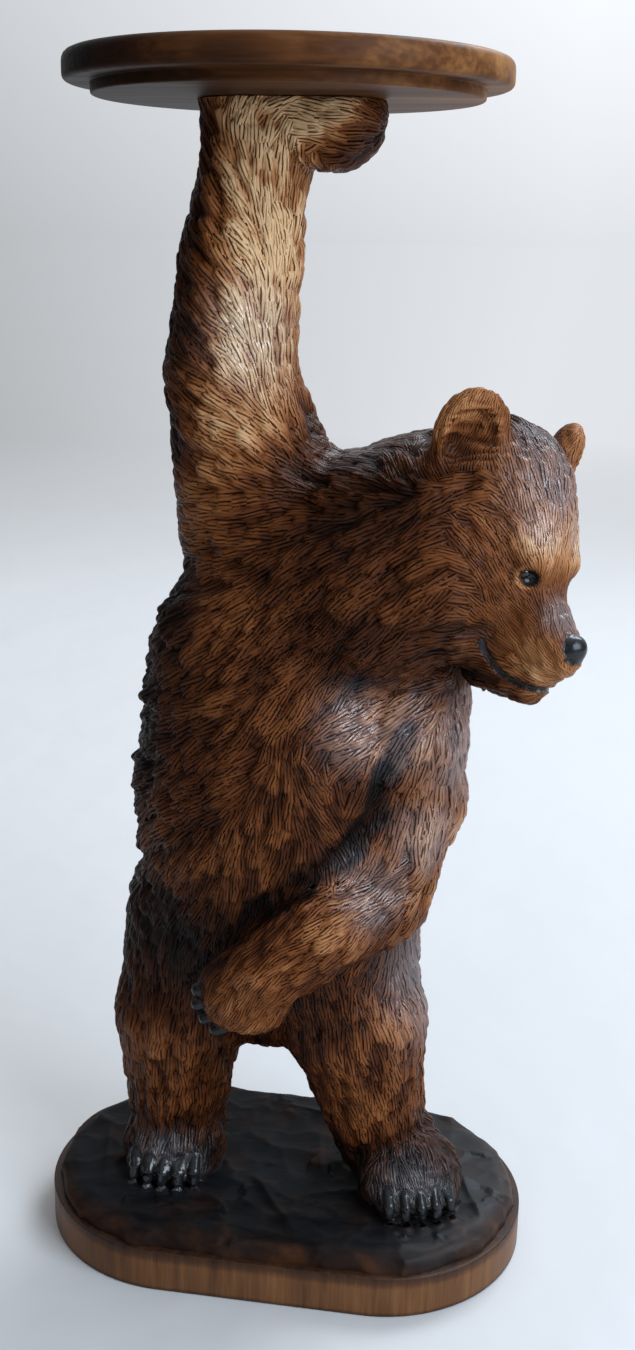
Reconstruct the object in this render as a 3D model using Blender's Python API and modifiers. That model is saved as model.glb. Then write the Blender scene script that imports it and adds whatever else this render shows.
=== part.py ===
"""A carved wooden bear that stands on an oblong plinth and holds up a round, stepped top.

The bear, the rough ground under its feet and the plinth are cut from one block of wood.
The round top is a turned board that rests on the bear's raised palm.
The eyes are two small glass beads set into the head.

Row frame: metres, +Z up, the origin at the centre of the plinth's underside, +X along the
plinth, and the bear's toes towards -Y.
"""

import math

import bmesh
import bpy
import numpy as np
from mathutils import Vector
from mathutils.kdtree import KDTree

# Plinth and ground
PLINTH_LENGTH = 0.215
PLINTH_DEPTH = 0.127
PLINTH_BAND = 0.019
GROUND_RISE = 0.009
GROUND_INSET = 0.0025

# The figure, from the ground to its raised palm
BEAR_HEIGHT = 0.457

# Round top
TOP_DIAMETER = 0.168
TOP_THICKNESS = 0.0105
TOP_STEP_DIAMETER = 0.1475
TOP_STEP_THICKNESS = 0.0042
TOP_EDGE_RADIUS = 0.003
TOP_OFFSET = -0.0035

# Glass eyes
EYE_DIAMETER = 0.0048
EYE_SINK = 0.0008

# Clearance between pieces that touch
GAP = 0.0003

# Colours
BEAR_COLOUR = (0.13, 0.055, 0.025)
TOP_COLOUR = (0.075, 0.026, 0.013)
EYE_COLOUR = (0.008, 0.007, 0.006)

# The locks of fur, in drawn millimetres: half their length and width, and how far apart they sit
LOCK_LENGTH = 17
LOCK_WIDTH = 6.5
LOCK_SPACING = 9.5

# Meshing
VOXEL = 0.0019
BEAR_TRIANGLES = 7900
PLINTH_END_STEPS = 24
TOP_STEPS = 48

# The figure is drawn in millimetres, DRAWN_HEIGHT tall over a ground at DRAWN_GROUND
DRAWN_HEIGHT = 457.0
DRAWN_GROUND = 28.0
SCALE = BEAR_HEIGHT / DRAWN_HEIGHT
GROUND_TOP = PLINTH_BAND + GROUND_RISE
PALM_HEIGHT = GROUND_TOP + BEAR_HEIGHT


def drawn_to_row(points):
    """Points of the drawing, in millimetres, as points of the row frame, in metres."""
    moved = np.array(points, float) * SCALE
    moved[..., 2] += GROUND_TOP - DRAWN_GROUND * SCALE
    return moved


# Forms: each one gives its distance and gradient at points, and lists the balls it is roughly made of


class Ball:
    """An ellipsoid with its own axes."""

    def __init__(self, centre, radii, axes=None):
        self.centre = np.array(centre, float)
        self.radii = np.array(radii, float)
        self.axes = np.eye(3) if axes is None else np.array(axes, float)

    def field(self, points):
        local = (points - self.centre) @ self.axes.T / self.radii
        near = np.linalg.norm(local, axis=1) + 1e-9
        slope = np.linalg.norm(local / self.radii, axis=1) + 1e-9
        gradient = (local / self.radii / slope[:, None]) @ self.axes
        return near * (near - 1) / slope, gradient

    def balls(self):
        return [self]


class Limb:
    """A tapered stretch with round ends."""

    def __init__(self, start, start_radius, end, end_radius):
        self.start = np.array(start, float)
        self.end = np.array(end, float)
        self.radii = (start_radius, end_radius)

    def field(self, points):
        along = self.end - self.start
        share = np.clip((points - self.start) @ along / (along @ along), 0, 1)
        away = points - self.start - share[:, None] * along
        far = np.linalg.norm(away, axis=1) + 1e-9
        radius = self.radii[0] + share * (self.radii[1] - self.radii[0])
        return far - radius, away / far[:, None]

    def balls(self):
        steps = max(2, int(np.linalg.norm(self.end - self.start) / min(self.radii) * 1.6))
        shares = np.linspace(0, 1, steps + 1)
        spread = self.radii[1] - self.radii[0]
        return [
            Ball(self.start + share * (self.end - self.start), (self.radii[0] + share * spread,) * 3)
            for share in shares
        ]


class Blend:
    """Forms joined with a soft fillet of a given width."""

    def __init__(self, forms, width):
        self.forms = forms
        self.width = width

    def field(self, points):
        distance, gradient = self.forms[0].field(points)
        for form in self.forms[1:]:
            other, other_gradient = form.field(points)
            distance, gradient = soft_union(distance, gradient, other, other_gradient, self.width)
        return distance, gradient

    def balls(self):
        return [ball for form in self.forms for ball in form.balls()]


class Carve:
    """A form with others cut out of it, with a soft edge."""

    def __init__(self, form, cutters, width):
        self.form = form
        self.cutters = cutters
        self.width = width

    def field(self, points):
        distance, gradient = self.form.field(points)
        for cutter in self.cutters:
            other, other_gradient = cutter.field(points)
            distance, gradient = soft_union(
                -distance, -gradient, other, other_gradient, self.width
            )
            distance, gradient = -distance, -gradient
        return distance, gradient

    def balls(self):
        return self.form.balls()


def soft_union(one, one_gradient, two, two_gradient, width):
    mix = np.clip(0.5 + 0.5 * (two - one) / width, 0, 1)
    distance = two * (1 - mix) + one * mix - width * mix * (1 - mix)
    gradient = two_gradient * (1 - mix)[:, None] + one_gradient * mix[:, None]
    return distance, gradient


class Pose:
    """A place and a direction on the figure: forward, side (the bear's right) and up."""

    def __init__(self, origin, yaw, pitch=0.0, tilt=0.0):
        turn, dip, lean = (math.radians(angle) for angle in (yaw, pitch, tilt))
        self.origin = np.array(origin, float)
        self.forward = np.array(
            [math.sin(turn) * math.cos(dip), -math.cos(turn) * math.cos(dip), math.sin(dip)]
        )
        level = np.array([-math.cos(turn), -math.sin(turn), 0.0])
        upright = np.cross(level, self.forward)
        self.side = math.cos(lean) * level + math.sin(lean) * upright
        self.up = np.cross(self.side, self.forward)
        self.axes = np.array([self.forward, self.side, self.up])

    def at(self, place):
        return self.origin + np.array(place, float) @ self.axes

    def ball(self, centre, radii):
        return Ball(self.at(centre), radii, self.axes)

    def limb(self, start, start_radius, end, end_radius):
        return Limb(self.at(start), start_radius, self.at(end), end_radius)


FURROWS = (
    ((-22, -46, 157), 2, (-4, -49, 175), 3.5),
    ((-4, -49, 175), 3.5, (13, -49, 187), 4.2),
    ((13, -49, 187), 4.2, (33, -41, 202), 4.8),
    ((33, -41, 202), 4.8, (41, -36, 214), 4.5),
    ((41, -36, 214), 4.5, (44, -39, 234), 3.2),
    ((44, -39, 234), 3.2, (54, -36, 252), 2),
    ((16, -45, 274), 1.5, (34, -41, 268), 3),
    ((34, -41, 268), 3, (52, -36, 267), 4),
    ((52, -36, 267), 4, (72, -28, 271), 4),
    ((-47, -34, 170), 1.5, (-30, -42, 146), 3),
)
PAW_CLAWS = ((-22, -52, 143), (-22, -53, 137), (-19.5, -53, 131), (-15.5, -50, 124.5))

HEAD = Pose((104, -29.4, 313.4), yaw=43, pitch=-32, tilt=14)
EYE_PLACE = (0.0, 12.8, 0.0)
MOUTH_LINE = (
    (4.3, 17.6, -29.6), (6.1, 15.6, -32.2), (8.5, 13.9, -33.4), (12.6, 12.2, -34.6), (17.6, 10.1, -34.9),
    (21.8, 8.6, -33.8), (25.6, 7.5, -32), (28.8, 4.1, -30.2), (30.4, 0, -29),
)


def torso():
    return Blend(
        [
            Ball((-3, -2, 205), (60, 45, 112)),
            Ball((-6, 3, 150), (57, 42, 46)),
            Ball((0, 3, 264), (55, 43, 58)),
            Ball((2, 12, 312), (44, 34, 38)),
            Ball((24, -29, 232), (19, 14, 26)),
            Ball((-13, 10, 105), (19, 22, 17)),
            Limb((-4, 36, 132), 11, (-4, 44, 121), 8),
        ],
        12,
    )


def neck():
    throat = Limb((40, -14, 300), 36, (61, -20, 306), 29)
    return Blend([Limb((16, 4, 306), 43, (58, -3, 326), 37.5), throat], 8)


def raised_arm():
    return Blend(
        [
            Limb((-12, 6, 325), 35, (-26.5, 4, 382), 25),
            Limb((-26.5, 4, 382), 25, (-22.5, 3, 425), 23),
            Limb((-22.5, 3, 425), 23, (-16, 2, 462), 19.5),
            Limb((-16, 2, 462), 19.5, (-14, 2, 492), 23),
            Limb((-8, 2, 484), 21, (15, -2, 479), 18.5),
            Limb((-12, 20, 366), 11, (-5, 18, 345), 16),
        ],
        3,
    )


def folded_arm():
    arm = Blend(
        [
            Limb((49, -4, 262), 25, (53, -11, 215), 20.5),
            Ball((50, -19, 240), (22, 17, 25)),
            Limb((53, -11, 215), 20.5, (41, -19, 172), 19.5),
            Limb((41, -20, 172), 19.5, (18, -43, 165.5), 18.5),
            Limb((18, -43, 165.5), 18.5, (1, -51, 151), 16),
            Ball((-8, -51, 140), (19, 12.5, 18)),
        ],
        4,
    )
    claws = [Limb((x, y, z), 2.7, (x - 4.5, y - 1.5, z - 2), 2) for x, y, z in PAW_CLAWS]
    return Blend([arm, Blend(claws, 0.5)], 1)


def leg(hip, knee, ankle, foot_yaw, foot):
    pose = Pose((*foot, DRAWN_GROUND), yaw=foot_yaw)
    claws = []
    for side in (-12.8, -6.4, 0, 6.4, 12.8):
        back = 0.02 * side**2
        claws += [
            pose.limb((25 - back, 1.03 * side, 11.5), 2.5, (29.8 - back, 1.06 * side, 7), 2.4),
            pose.limb((29.8 - back, 1.06 * side, 7), 2.4, (31 - back, 1.08 * side, 1.5), 2.4),
        ]
    shank = Blend([Limb(*hip, *knee), Limb(*knee, *ankle)], 4)
    instep = Blend(
        [
            pose.limb((-14, 0, 13), 17, (6, 0, 11), 17),
            pose.ball((8, 0, 9), (18, 23, 15)),
        ],
        8,
    )
    toes = [
        pose.limb((8, side, 10), 8, (25.5 - 0.02 * side**2, 1.05 * side, 5.5), 4.6)
        for side in (-12.8, -6.4, 0, 6.4, 12.8)
    ]
    instep = Blend([instep, Blend(toes, 1.5)], 3)
    return Blend([Blend([shank, instep], 4), Blend(claws, 0.5)], 1.5)


def ear(place, facing, rise, height):
    """A cupped ear that faces one way and stands up another, both given in the head's directions."""
    facing = np.array(facing, float) / np.linalg.norm(facing)
    rise = np.array(rise, float) - (np.array(rise) @ facing) * facing
    rise /= np.linalg.norm(rise)
    axes = np.array([facing, np.cross(rise, facing), rise])
    cup = Ball(HEAD.at(place), (6.5, 0.8 * height, height), axes @ HEAD.axes)
    middle = HEAD.at(place + axes.T @ (7, 0, -1))
    hollow = Ball(middle, (7.5, 0.58 * height, 0.74 * height), axes @ HEAD.axes)
    middle = HEAD.at(place + axes.T @ (3, 0.2 * height, -0.35 * height))
    deep = Ball(middle, (5, 0.26 * height, 0.3 * height), axes @ HEAD.axes)
    return Carve(cup, [hollow, deep], 2)


def mouth():
    """The groove between the lips, from each corner of the mouth to the front."""
    return [
        HEAD.limb((start[0], start[1] * side, start[2]), 1.2, (end[0], end[1] * side, end[2]), 1.2)
        for start, end in zip(MOUTH_LINE, MOUTH_LINE[1:])
        for side in (1, -1)
    ]


def eye_hollows():
    x, y, z = EYE_PLACE
    return [HEAD.ball((x + 1, y * side, z), (3.2, 3.8, 3.2)) for side in (1, -1)]


def head():
    skull = Blend(
        [
            HEAD.ball((-44, 0, 3), (32, 31, 32)),
            HEAD.ball((-22, 0, 1), (21, 21, 22)),
            HEAD.ball((-26, 16, -17), (25, 17, 22)),
            HEAD.ball((-26, -16, -17), (25, 17, 22)),
            HEAD.ball((-9, 8, 3), (10, 8, 7)),
            HEAD.ball((-9, -8, 3), (10, 8, 7)),
            HEAD.limb((0, 0, -14), 14.5, (23, 0, -15.5), 9.5),
        ],
        8,
    )
    lip = HEAD.limb((0, 0, -27), 17, (20.5, 0, -22), 9.8)
    jaw = HEAD.limb((3, 0, -37), 15.3, (21, 0, -32.7), 8.7)
    nose = HEAD.ball((26.5, 0, -11.5), (5.5, 6.5, 6.5))
    right_ear = ear((-51, 26, 25), (0.75, 0.6, 0.25), (-0.32, 0, 0.95), 17.5)
    left_ear = ear((-49, -28.5, 22.5), (0.52, -0.82, 0.1), (-0.3, -0.1, 0.95), 15.5)
    face = Blend([Blend([skull, Blend([lip, jaw], 5)], 3), nose], 1)
    return Carve(Blend([face, right_ear, left_ear], 4), [*mouth(), *eye_hollows()], 1)


class Ground:
    """The rough ground: a low mound inside the plinth's outline, cut in shallow scoops."""

    def field(self, points):
        half_depth = PLINTH_DEPTH / 2 / SCALE
        reach = PLINTH_LENGTH / 2 / SCALE - half_depth
        radius = half_depth - GROUND_INSET / SCALE
        nearest = points.copy()
        nearest[:, 0] = np.clip(points[:, 0], -reach, reach)
        nearest[:, 1:] = 0
        away = points - nearest
        away[:, 2] = 0
        outward = np.linalg.norm(away, axis=1) + 1e-9
        side = outward - radius
        top = points[:, 2] - DRAWN_GROUND
        up = np.zeros_like(points)
        up[:, 2] = 1
        distance, gradient = soft_union(-side, -away / outward[:, None], -top, -up, 9)
        distance, gradient = soft_union(distance, gradient, points[:, 2] - DRAWN_GROUND + 22, up, 2)
        return -distance, -gradient

    def balls(self):
        half_depth = PLINTH_DEPTH / 2 / SCALE
        reach = PLINTH_LENGTH / 2 / SCALE - half_depth
        size = (half_depth - 2, half_depth - 2, 12)
        return [Ball((share * reach, 0, DRAWN_GROUND - 12), size) for share in np.linspace(-1, 1, 13)]


def figure():
    body = Blend([torso(), neck()], 10)
    body = Blend([body, raised_arm()], 6)
    legs = Blend(
        [
            leg(((-36, 6, 142), 37), ((-47, -6, 104), 27), ((-51, 2, 47), 20.5), 0, (-50, 0)),
            leg(((22, 6, 142), 33), ((32, -8, 108), 29), ((43, 0, 47), 19), 20, (55.5, -6)),
        ],
        6,
    )
    body = Blend([body, legs], 8)
    body = Blend([body, folded_arm()], 3)
    body = Carve(body, [Limb(*furrow) for furrow in FURROWS], 3)
    body = Blend([body, head()], 7)
    return Blend([body, Ground()], 3)


def project(points, form, rounds=5):
    """Points moved onto the form's surface."""
    for _ in range(rounds):
        distance, gradient = form.field(points)
        steep = np.maximum((gradient**2).sum(1), 0.15)
        points = points - (distance / steep)[:, None] * gradient
    return points


def unit_ball():
    bm = bmesh.new()
    bmesh.ops.create_icosphere(bm, subdivisions=3, radius=1)
    points = np.array([vertex.co[:] for vertex in bm.verts])
    faces = np.array([[vertex.index for vertex in face.verts] for face in bm.faces])
    bm.free()
    return points, faces


def rough_mesh(form, voxel):
    """The form's balls run together by a voxel remesh."""
    unit, faces = unit_ball()
    balls = form.balls()
    points = [(unit * ball.radii) @ ball.axes + ball.centre for ball in balls]
    sides = [faces + number * len(unit) for number in range(len(balls))]
    mesh = bpy.data.meshes.new("rough")
    mesh.from_pydata(np.concatenate(points), [], np.concatenate(sides))
    rough = bpy.data.objects.new("rough", mesh)
    bpy.context.scene.collection.objects.link(rough)
    remesh = rough.modifiers.new("remesh", "REMESH")
    remesh.mode = "VOXEL"
    remesh.voxel_size = voxel
    evaluated = rough.evaluated_get(bpy.context.evaluated_depsgraph_get())
    solid = bpy.data.meshes.new_from_object(evaluated)
    bpy.data.objects.remove(rough)
    return solid


def coordinates(mesh):
    points = np.zeros(len(mesh.vertices) * 3)
    mesh.vertices.foreach_get("co", points)
    return points.reshape(-1, 3)


def relax(mesh, form, rounds):
    """Evens out the mesh along the surface."""
    points = coordinates(mesh)
    edges = np.zeros(len(mesh.edges) * 2, int)
    mesh.edges.foreach_get("vertices", edges)
    edges = edges.reshape(-1, 2)
    count = np.bincount(edges.ravel(), minlength=len(points)).astype(float)[:, None]
    for _ in range(rounds):
        total = np.zeros_like(points)
        np.add.at(total, edges[:, 0], points[edges[:, 1]])
        np.add.at(total, edges[:, 1], points[edges[:, 0]])
        points = project(0.5 * points + 0.5 * total / count, form, 2)
    mesh.vertices.foreach_set("co", points.ravel())
    mesh.update()


# The carving: strokes that the fur lies along, with the depth in millimetres that the locks are cut to


def fur_strokes():
    strokes = [
        ((0, -44, 300), (-5, -50, 150), 1.2),
        ((30, -40, 290), (30, -44, 190), 1.3),
        ((-45, -20, 290), (-60, -10, 170), 2.2),
        ((-60, 15, 280), (-66, 10, 150), 3.6),
        ((50, 20, 300), (58, 15, 160), 2.4),
        ((-25, 48, 330), (-30, 48, 140), 3.0),
        ((20, 48, 330), (20, 48, 140), 2.6),
        ((14, -30, 345), (-45, -18, 375), 1.6),
        ((12, -35, 328), (-50, -20, 322), 1.8),
        ((10, -40, 312), (-48, -24, 272), 2.0),
        ((-20, -25, 390), (-50, -12, 425), 1.6),
        ((-14, -22, 430), (-44, -10, 468), 1.6),
        ((0, -18, 380), (-8, -22, 480), 1.3),
        ((2, 0, 385), (6, 0, 470), 1.3),
        ((-25, 30, 370), (-22, 26, 480), 2.4),
        ((-6, -20, 480), (26, -16, 474), 1.0),
        ((66, -38, 345), (20, -44, 305), 1.7),
        ((66, 10, 364), (14, 14, 350), 2.0),
        ((62, -48, 312), (20, -52, 275), 1.8),
        ((60, 20, 330), (20, 40, 290), 2.2),
        ((45, -30, 280), (48, -34, 190), 1.6),
        ((76, -8, 270), (70, -14, 180), 2.0),
        ((62, -30, 176), (36, -40, 150), 1.2),
        ((48, -36, 182), (2, -66, 156), 1.1),
        ((0, -64, 152), (-16, -60, 124), 0.6),
        ((-66, -12, 150), (-60, -26, 50), 1.7),
        ((-40, -30, 130), (-46, -28, 50), 1.5),
        ((-50, 36, 140), (-50, 24, 48), 2.2),
        ((22, -36, 140), (42, -26, 50), 1.4),
        ((62, -6, 140), (64, 0, 52), 1.8),
        ((30, 36, 140), (44, 20, 48), 2.2),
        ((-50, -6, 44), (-52, -34, 32), 0.5),
        ((50, -6, 44), (64, -38, 32), 0.5),
    ]
    face = [
        ((24, 0, -5), (-4, 0, 20), 0.3),
        ((-4, 0, 22), (-50, 0, 36), 0.8),
        ((22, 8, -18), (-4, 16, -14), 0.25),
        ((-4, 20, -8), (-50, 34, 2), 0.9),
        ((-6, 20, -28), (-40, 34, -34), 1.5),
        ((22, 6, -38), (-12, 14, -52), 1.2),
        ((-52, 26, 10), (-54, 28, 38), 0.3),
    ]
    for start, end, depth in face:
        for side in (1, -1):
            sides = np.array([1, side, 1])
            strokes.append((HEAD.at(start * sides), HEAD.at(end * sides), depth))
    return strokes


def comb(points):
    """At each point, the way the fur lies and the depth it is cut to."""
    way = np.zeros_like(points)
    depth = np.zeros(len(points))
    total = np.zeros(len(points))
    for start, end, cut in fur_strokes():
        start, end = np.array(start, float), np.array(end, float)
        along = end - start
        share = np.clip((points - start) @ along / (along @ along), 0, 1)
        away = np.linalg.norm(points - start - share[:, None] * along, axis=1)
        weight = 1 / (away**2 + 36) ** 2
        way += weight[:, None] * along / np.linalg.norm(along)
        depth += weight * cut
        total += weight
    return way, depth / total


def hashed(cells, salt):
    """A repeatable number from 0 to 1 for each cell of a lattice."""
    mixed = np.sin(cells @ np.array([12.9898, 78.233, 37.719]) + salt * 4.1414) * 43758.5453
    return mixed - np.floor(mixed)


def lock_seeds(form, low, high, spacing):
    """Where the locks sit: points spread over the form's surface, about one spacing apart."""
    sides = [np.arange(math.floor(a / spacing), math.ceil(b / spacing) + 1) for a, b in zip(low, high)]
    cells = np.stack(np.meshgrid(*sides, indexing="ij"), axis=-1).reshape(-1, 3).astype(float)
    shift = np.stack([hashed(cells, salt) for salt in range(3)], axis=1)
    points = (cells + 0.5 + 0.8 * (shift - 0.5)) * spacing
    distance, _ = form.field(points)
    near = np.abs(distance) < 0.55 * spacing
    points = project(points[near], form)
    distance, _ = form.field(points)
    return points[np.abs(distance) < 0.2]


def carve(points, normals, seeds, ways, depths, sizes, turns, neighbours=14):
    """How high each point stands in the carving: overlapping leaf shapes that rise to their tips."""
    tree = KDTree(len(seeds))
    for number, seed in enumerate(seeds):
        tree.insert(seed, number)
    tree.balance()
    nearest = np.array([[index for _, index, _ in tree.find_n(point, neighbours)] for point in points])
    height = np.zeros(len(points))
    for rank in range(neighbours):
        seed = nearest[:, rank]
        way = ways[seed]
        way = way - (way * normals).sum(1)[:, None] * normals
        way /= np.linalg.norm(way, axis=1)[:, None] + 1e-9
        across = np.cross(normals, way)
        turn = turns[seed][:, None]
        way, across = way * np.cos(turn) + across * np.sin(turn), across * np.cos(turn) - way * np.sin(turn)
        offset = points - seeds[seed]
        along = (offset * way).sum(1) / (LOCK_LENGTH * sizes[seed])
        aside = (offset * across).sum(1) / (LOCK_WIDTH * sizes[seed])
        leaf = 1 - np.minimum(along**2, 1) ** 1.5
        rise = (0.3 + 0.35 * (along + 1)) * (leaf - aside**2)
        height = np.maximum(height, rise * depths[seed])
    return height


def add_locks(mesh, form):
    points = coordinates(mesh)
    _, normals = form.field(points)
    normals /= np.linalg.norm(normals, axis=1)[:, None]
    seeds = lock_seeds(form, points.min(0), points.max(0), LOCK_SPACING)
    ways, depths = comb(seeds)
    sizes = 0.55 + 0.3 * depths
    turns = 0.5 * (hashed(np.round(seeds), 7) - 0.5)
    on_ground = np.clip((DRAWN_GROUND + 3 - seeds[:, 2]) / 2, 0, 1)
    fur = carve(points, normals, seeds, ways, depths * (1 - on_ground), sizes, turns)
    scoops = carve(points, normals, seeds, ways, on_ground, np.full(len(seeds), 0.9), turns * 3)
    _, depth_here = comb(points)
    points = points + normals * (fur - 0.4 * depth_here - 0.8 * scoops)[:, None]
    mesh.vertices.foreach_set("co", points.ravel())
    mesh.update()


# Pieces


def wood(name, colour, roughness):
    material = bpy.data.materials.new(name)
    material.use_nodes = True
    shader = material.node_tree.nodes["Principled BSDF"]
    shader.inputs["Base Color"].default_value = (*colour, 1)
    shader.inputs["Roughness"].default_value = roughness
    shader.inputs["Metallic"].default_value = 0
    return material


def add_object(name, mesh, collection, material=None):
    piece = bpy.data.objects.new(name, mesh)
    collection.objects.link(piece)
    if material:
        mesh.materials.clear()
        mesh.materials.append(material)
    return piece


def add_cutter(name, mesh, cutters):
    cutter = add_object(name, mesh, cutters)
    cutter.hide_render = True
    cutter.display_type = "WIRE"
    return cutter


def add_boolean(piece, other, operation):
    boolean = piece.modifiers.new(other.name, "BOOLEAN")
    boolean.operation = operation
    boolean.object = other
    boolean.solver = "EXACT"


def plinth_slab(cutters):
    """The plinth below the ground: a plate with half round ends."""
    radius = PLINTH_DEPTH / 2
    reach = PLINTH_LENGTH / 2 - radius
    angles = np.linspace(-math.pi / 2, math.pi / 2, PLINTH_END_STEPS + 1)
    right = [(reach + radius * math.cos(angle), radius * math.sin(angle)) for angle in angles]
    left = [(-x, -y) for x, y in right]
    bm = bmesh.new()
    base = bm.faces.new([bm.verts.new((x, y, 0)) for x, y in right + left])
    raised = bmesh.ops.extrude_face_region(bm, geom=[base])
    top = [vertex for vertex in raised["geom"] if isinstance(vertex, bmesh.types.BMVert)]
    bmesh.ops.translate(bm, vec=(0, 0, PLINTH_BAND), verts=top)
    bmesh.ops.recalc_face_normals(bm, faces=bm.faces)
    mesh = bpy.data.meshes.new("plinth")
    bm.to_mesh(mesh)
    bm.free()
    return add_cutter("plinth_slab", mesh, cutters)


def palm_cutter(cutters):
    """A block whose lower face cuts the raised palm flat."""
    bm = bmesh.new()
    bmesh.ops.create_cube(bm, size=TOP_DIAMETER)
    bmesh.ops.translate(bm, vec=(0, 0, PALM_HEIGHT + TOP_DIAMETER / 2), verts=bm.verts)
    mesh = bpy.data.meshes.new("palm")
    bm.to_mesh(mesh)
    bm.free()
    return add_cutter("palm_plane", mesh, cutters)


def sphere_mesh(name, diameter):
    bm = bmesh.new()
    bmesh.ops.create_uvsphere(bm, u_segments=12, v_segments=8, radius=diameter / 2)
    for face in bm.faces:
        face.smooth = True
    mesh = bpy.data.meshes.new(name)
    bm.to_mesh(mesh)
    bm.free()
    return mesh


def eye_centre(form, side):
    """The centre of an eye's bead, a little under the head's surface."""
    place = HEAD.at((EYE_PLACE[0], EYE_PLACE[1] * side, EYE_PLACE[2]))[None]
    place = project(place, form)
    _, outward = form.field(place)
    inward = EYE_SINK / SCALE * outward / np.linalg.norm(outward)
    return Vector(drawn_to_row(place - inward)[0])


def add_round_top(collection, material):
    """The turned board: a disc with a rounded edge over a narrower step, as a profile spun round."""
    low = PALM_HEIGHT + GAP
    middle = low + TOP_STEP_THICKNESS
    high = middle + TOP_THICKNESS
    radius = TOP_DIAMETER / 2
    edge = [
        (radius - TOP_EDGE_RADIUS * (1 - math.cos(angle)), centre + TOP_EDGE_RADIUS * math.sin(angle))
        for centre, start in ((high - TOP_EDGE_RADIUS, math.pi / 2), (middle + TOP_EDGE_RADIUS, 0))
        for angle in np.linspace(start, start - math.pi / 2, 4)
    ]
    step = TOP_STEP_DIAMETER / 2
    profile = [(0, high), *edge, (step, middle), (step, low), (0, low)]
    bm = bmesh.new()
    corners = [bm.verts.new((x, 0, z)) for x, z in profile]
    for one, two in zip(corners, corners[1:]):
        bm.edges.new((one, two))
    mesh = bpy.data.meshes.new("round_top")
    bm.to_mesh(mesh)
    bm.free()
    top = add_object("round_top", mesh, collection, material)
    top.location.x = TOP_OFFSET
    screw = top.modifiers.new("turn", "SCREW")
    screw.steps = TOP_STEPS
    screw.render_steps = TOP_STEPS
    screw.use_merge_vertices = True
    screw.merge_threshold = 0.00001
    return top


def add_bear(form, collection, cutters, material):
    mesh = rough_mesh(form, VOXEL / SCALE)
    points = project(coordinates(mesh), form)
    mesh.vertices.foreach_set("co", points.ravel())
    relax(mesh, form, 4)
    add_locks(mesh, form)
    mesh.vertices.foreach_set("co", drawn_to_row(coordinates(mesh)).ravel())
    mesh.update()
    bear = add_object("bear_with_plinth", mesh, collection, material)
    decimate = bear.modifiers.new("decimate", "DECIMATE")
    decimate.ratio = BEAR_TRIANGLES / (2 * len(mesh.polygons))
    add_boolean(bear, plinth_slab(cutters), "UNION")
    add_boolean(bear, palm_cutter(cutters), "DIFFERENCE")
    return bear


def main():
    for old in list(bpy.data.objects):
        bpy.data.objects.remove(old)
    collection = bpy.data.collections.new("carved_wooden_bear")
    cutters = bpy.data.collections.new("cutters")
    bpy.context.scene.collection.children.link(collection)
    bpy.context.scene.collection.children.link(cutters)
    form = figure()
    bear = add_bear(form, collection, cutters, wood("stained_carved_wood", BEAR_COLOUR, 0.45))
    add_round_top(collection, wood("stained_turned_wood", TOP_COLOUR, 0.4))
    glass = wood("black_glass", EYE_COLOUR, 0.08)
    for name, side in (("right_eye", 1), ("left_eye", -1)):
        centre = eye_centre(form, side)
        hole = sphere_mesh(name + "_socket", EYE_DIAMETER + 2 * GAP)
        socket = add_cutter(name + "_socket", hole, cutters)
        socket.location = centre
        add_boolean(bear, socket, "DIFFERENCE")
        eye = add_object(name, sphere_mesh(name, EYE_DIAMETER), collection, glass)
        eye.location = centre


main()
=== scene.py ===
"""The looks of the carved bear: the same forms as the solids, carved at a finer step and stained."""

import math

import bmesh
import bpy
import numpy as np
from mathutils import Matrix, Vector
from mathutils.kdtree import KDTree


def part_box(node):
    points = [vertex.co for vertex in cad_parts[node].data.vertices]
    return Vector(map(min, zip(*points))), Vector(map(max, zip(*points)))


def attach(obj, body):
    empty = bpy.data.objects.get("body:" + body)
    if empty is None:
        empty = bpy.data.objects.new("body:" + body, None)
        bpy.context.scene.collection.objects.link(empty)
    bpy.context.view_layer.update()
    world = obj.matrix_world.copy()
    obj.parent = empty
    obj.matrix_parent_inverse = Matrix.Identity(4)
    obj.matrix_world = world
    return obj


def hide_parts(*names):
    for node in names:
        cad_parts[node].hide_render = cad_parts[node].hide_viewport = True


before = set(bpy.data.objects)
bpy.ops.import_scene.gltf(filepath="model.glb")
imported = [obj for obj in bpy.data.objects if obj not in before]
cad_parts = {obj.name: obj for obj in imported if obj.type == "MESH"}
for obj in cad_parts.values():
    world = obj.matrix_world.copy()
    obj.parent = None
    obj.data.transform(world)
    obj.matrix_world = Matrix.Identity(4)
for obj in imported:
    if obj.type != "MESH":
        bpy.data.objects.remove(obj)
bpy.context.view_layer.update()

BLOCK = "bear_with_plinth"
BLOCK_SLOT = "stained_carved_wood"
TOP_SLOT = "stained_turned_wood"
EYE_SLOT = "black_glass"


# Places nearer to each other than this, in metres, are the same
NEAR = 1e-5
# Added to a length before something is divided by it
TINY = 1e-9


def read(items, name, size, kind):
    """One value of each of a mesh's items, as an array."""
    values = np.zeros(len(items) * size, kind)
    items.foreach_get(name, values)
    return values.reshape(-1, size) if size > 1 else values


def node_points(name):
    """A CAD node's vertices, in metres."""
    return read(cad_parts[name].data.vertices, "co", 3, float)


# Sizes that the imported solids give, in metres
block_points = node_points(BLOCK)
foot_points = block_points[block_points[:, 2] < block_points[:, 2].min() + NEAR]
PLINTH_LENGTH = 2 * foot_points[:, 0].max()
PLINTH_DEPTH = 2 * foot_points[:, 1].max()
from_end = np.abs(block_points[:, 0] - PLINTH_LENGTH / 2) + np.abs(block_points[:, 1])
PLINTH_BAND = block_points[from_end < NEAR][:, 2].max()
PALM_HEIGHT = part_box(BLOCK)[1][2]

# Sizes that the solids don't give
GROUND_RISE = 0.009
GROUND_INSET = 0.0025

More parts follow.
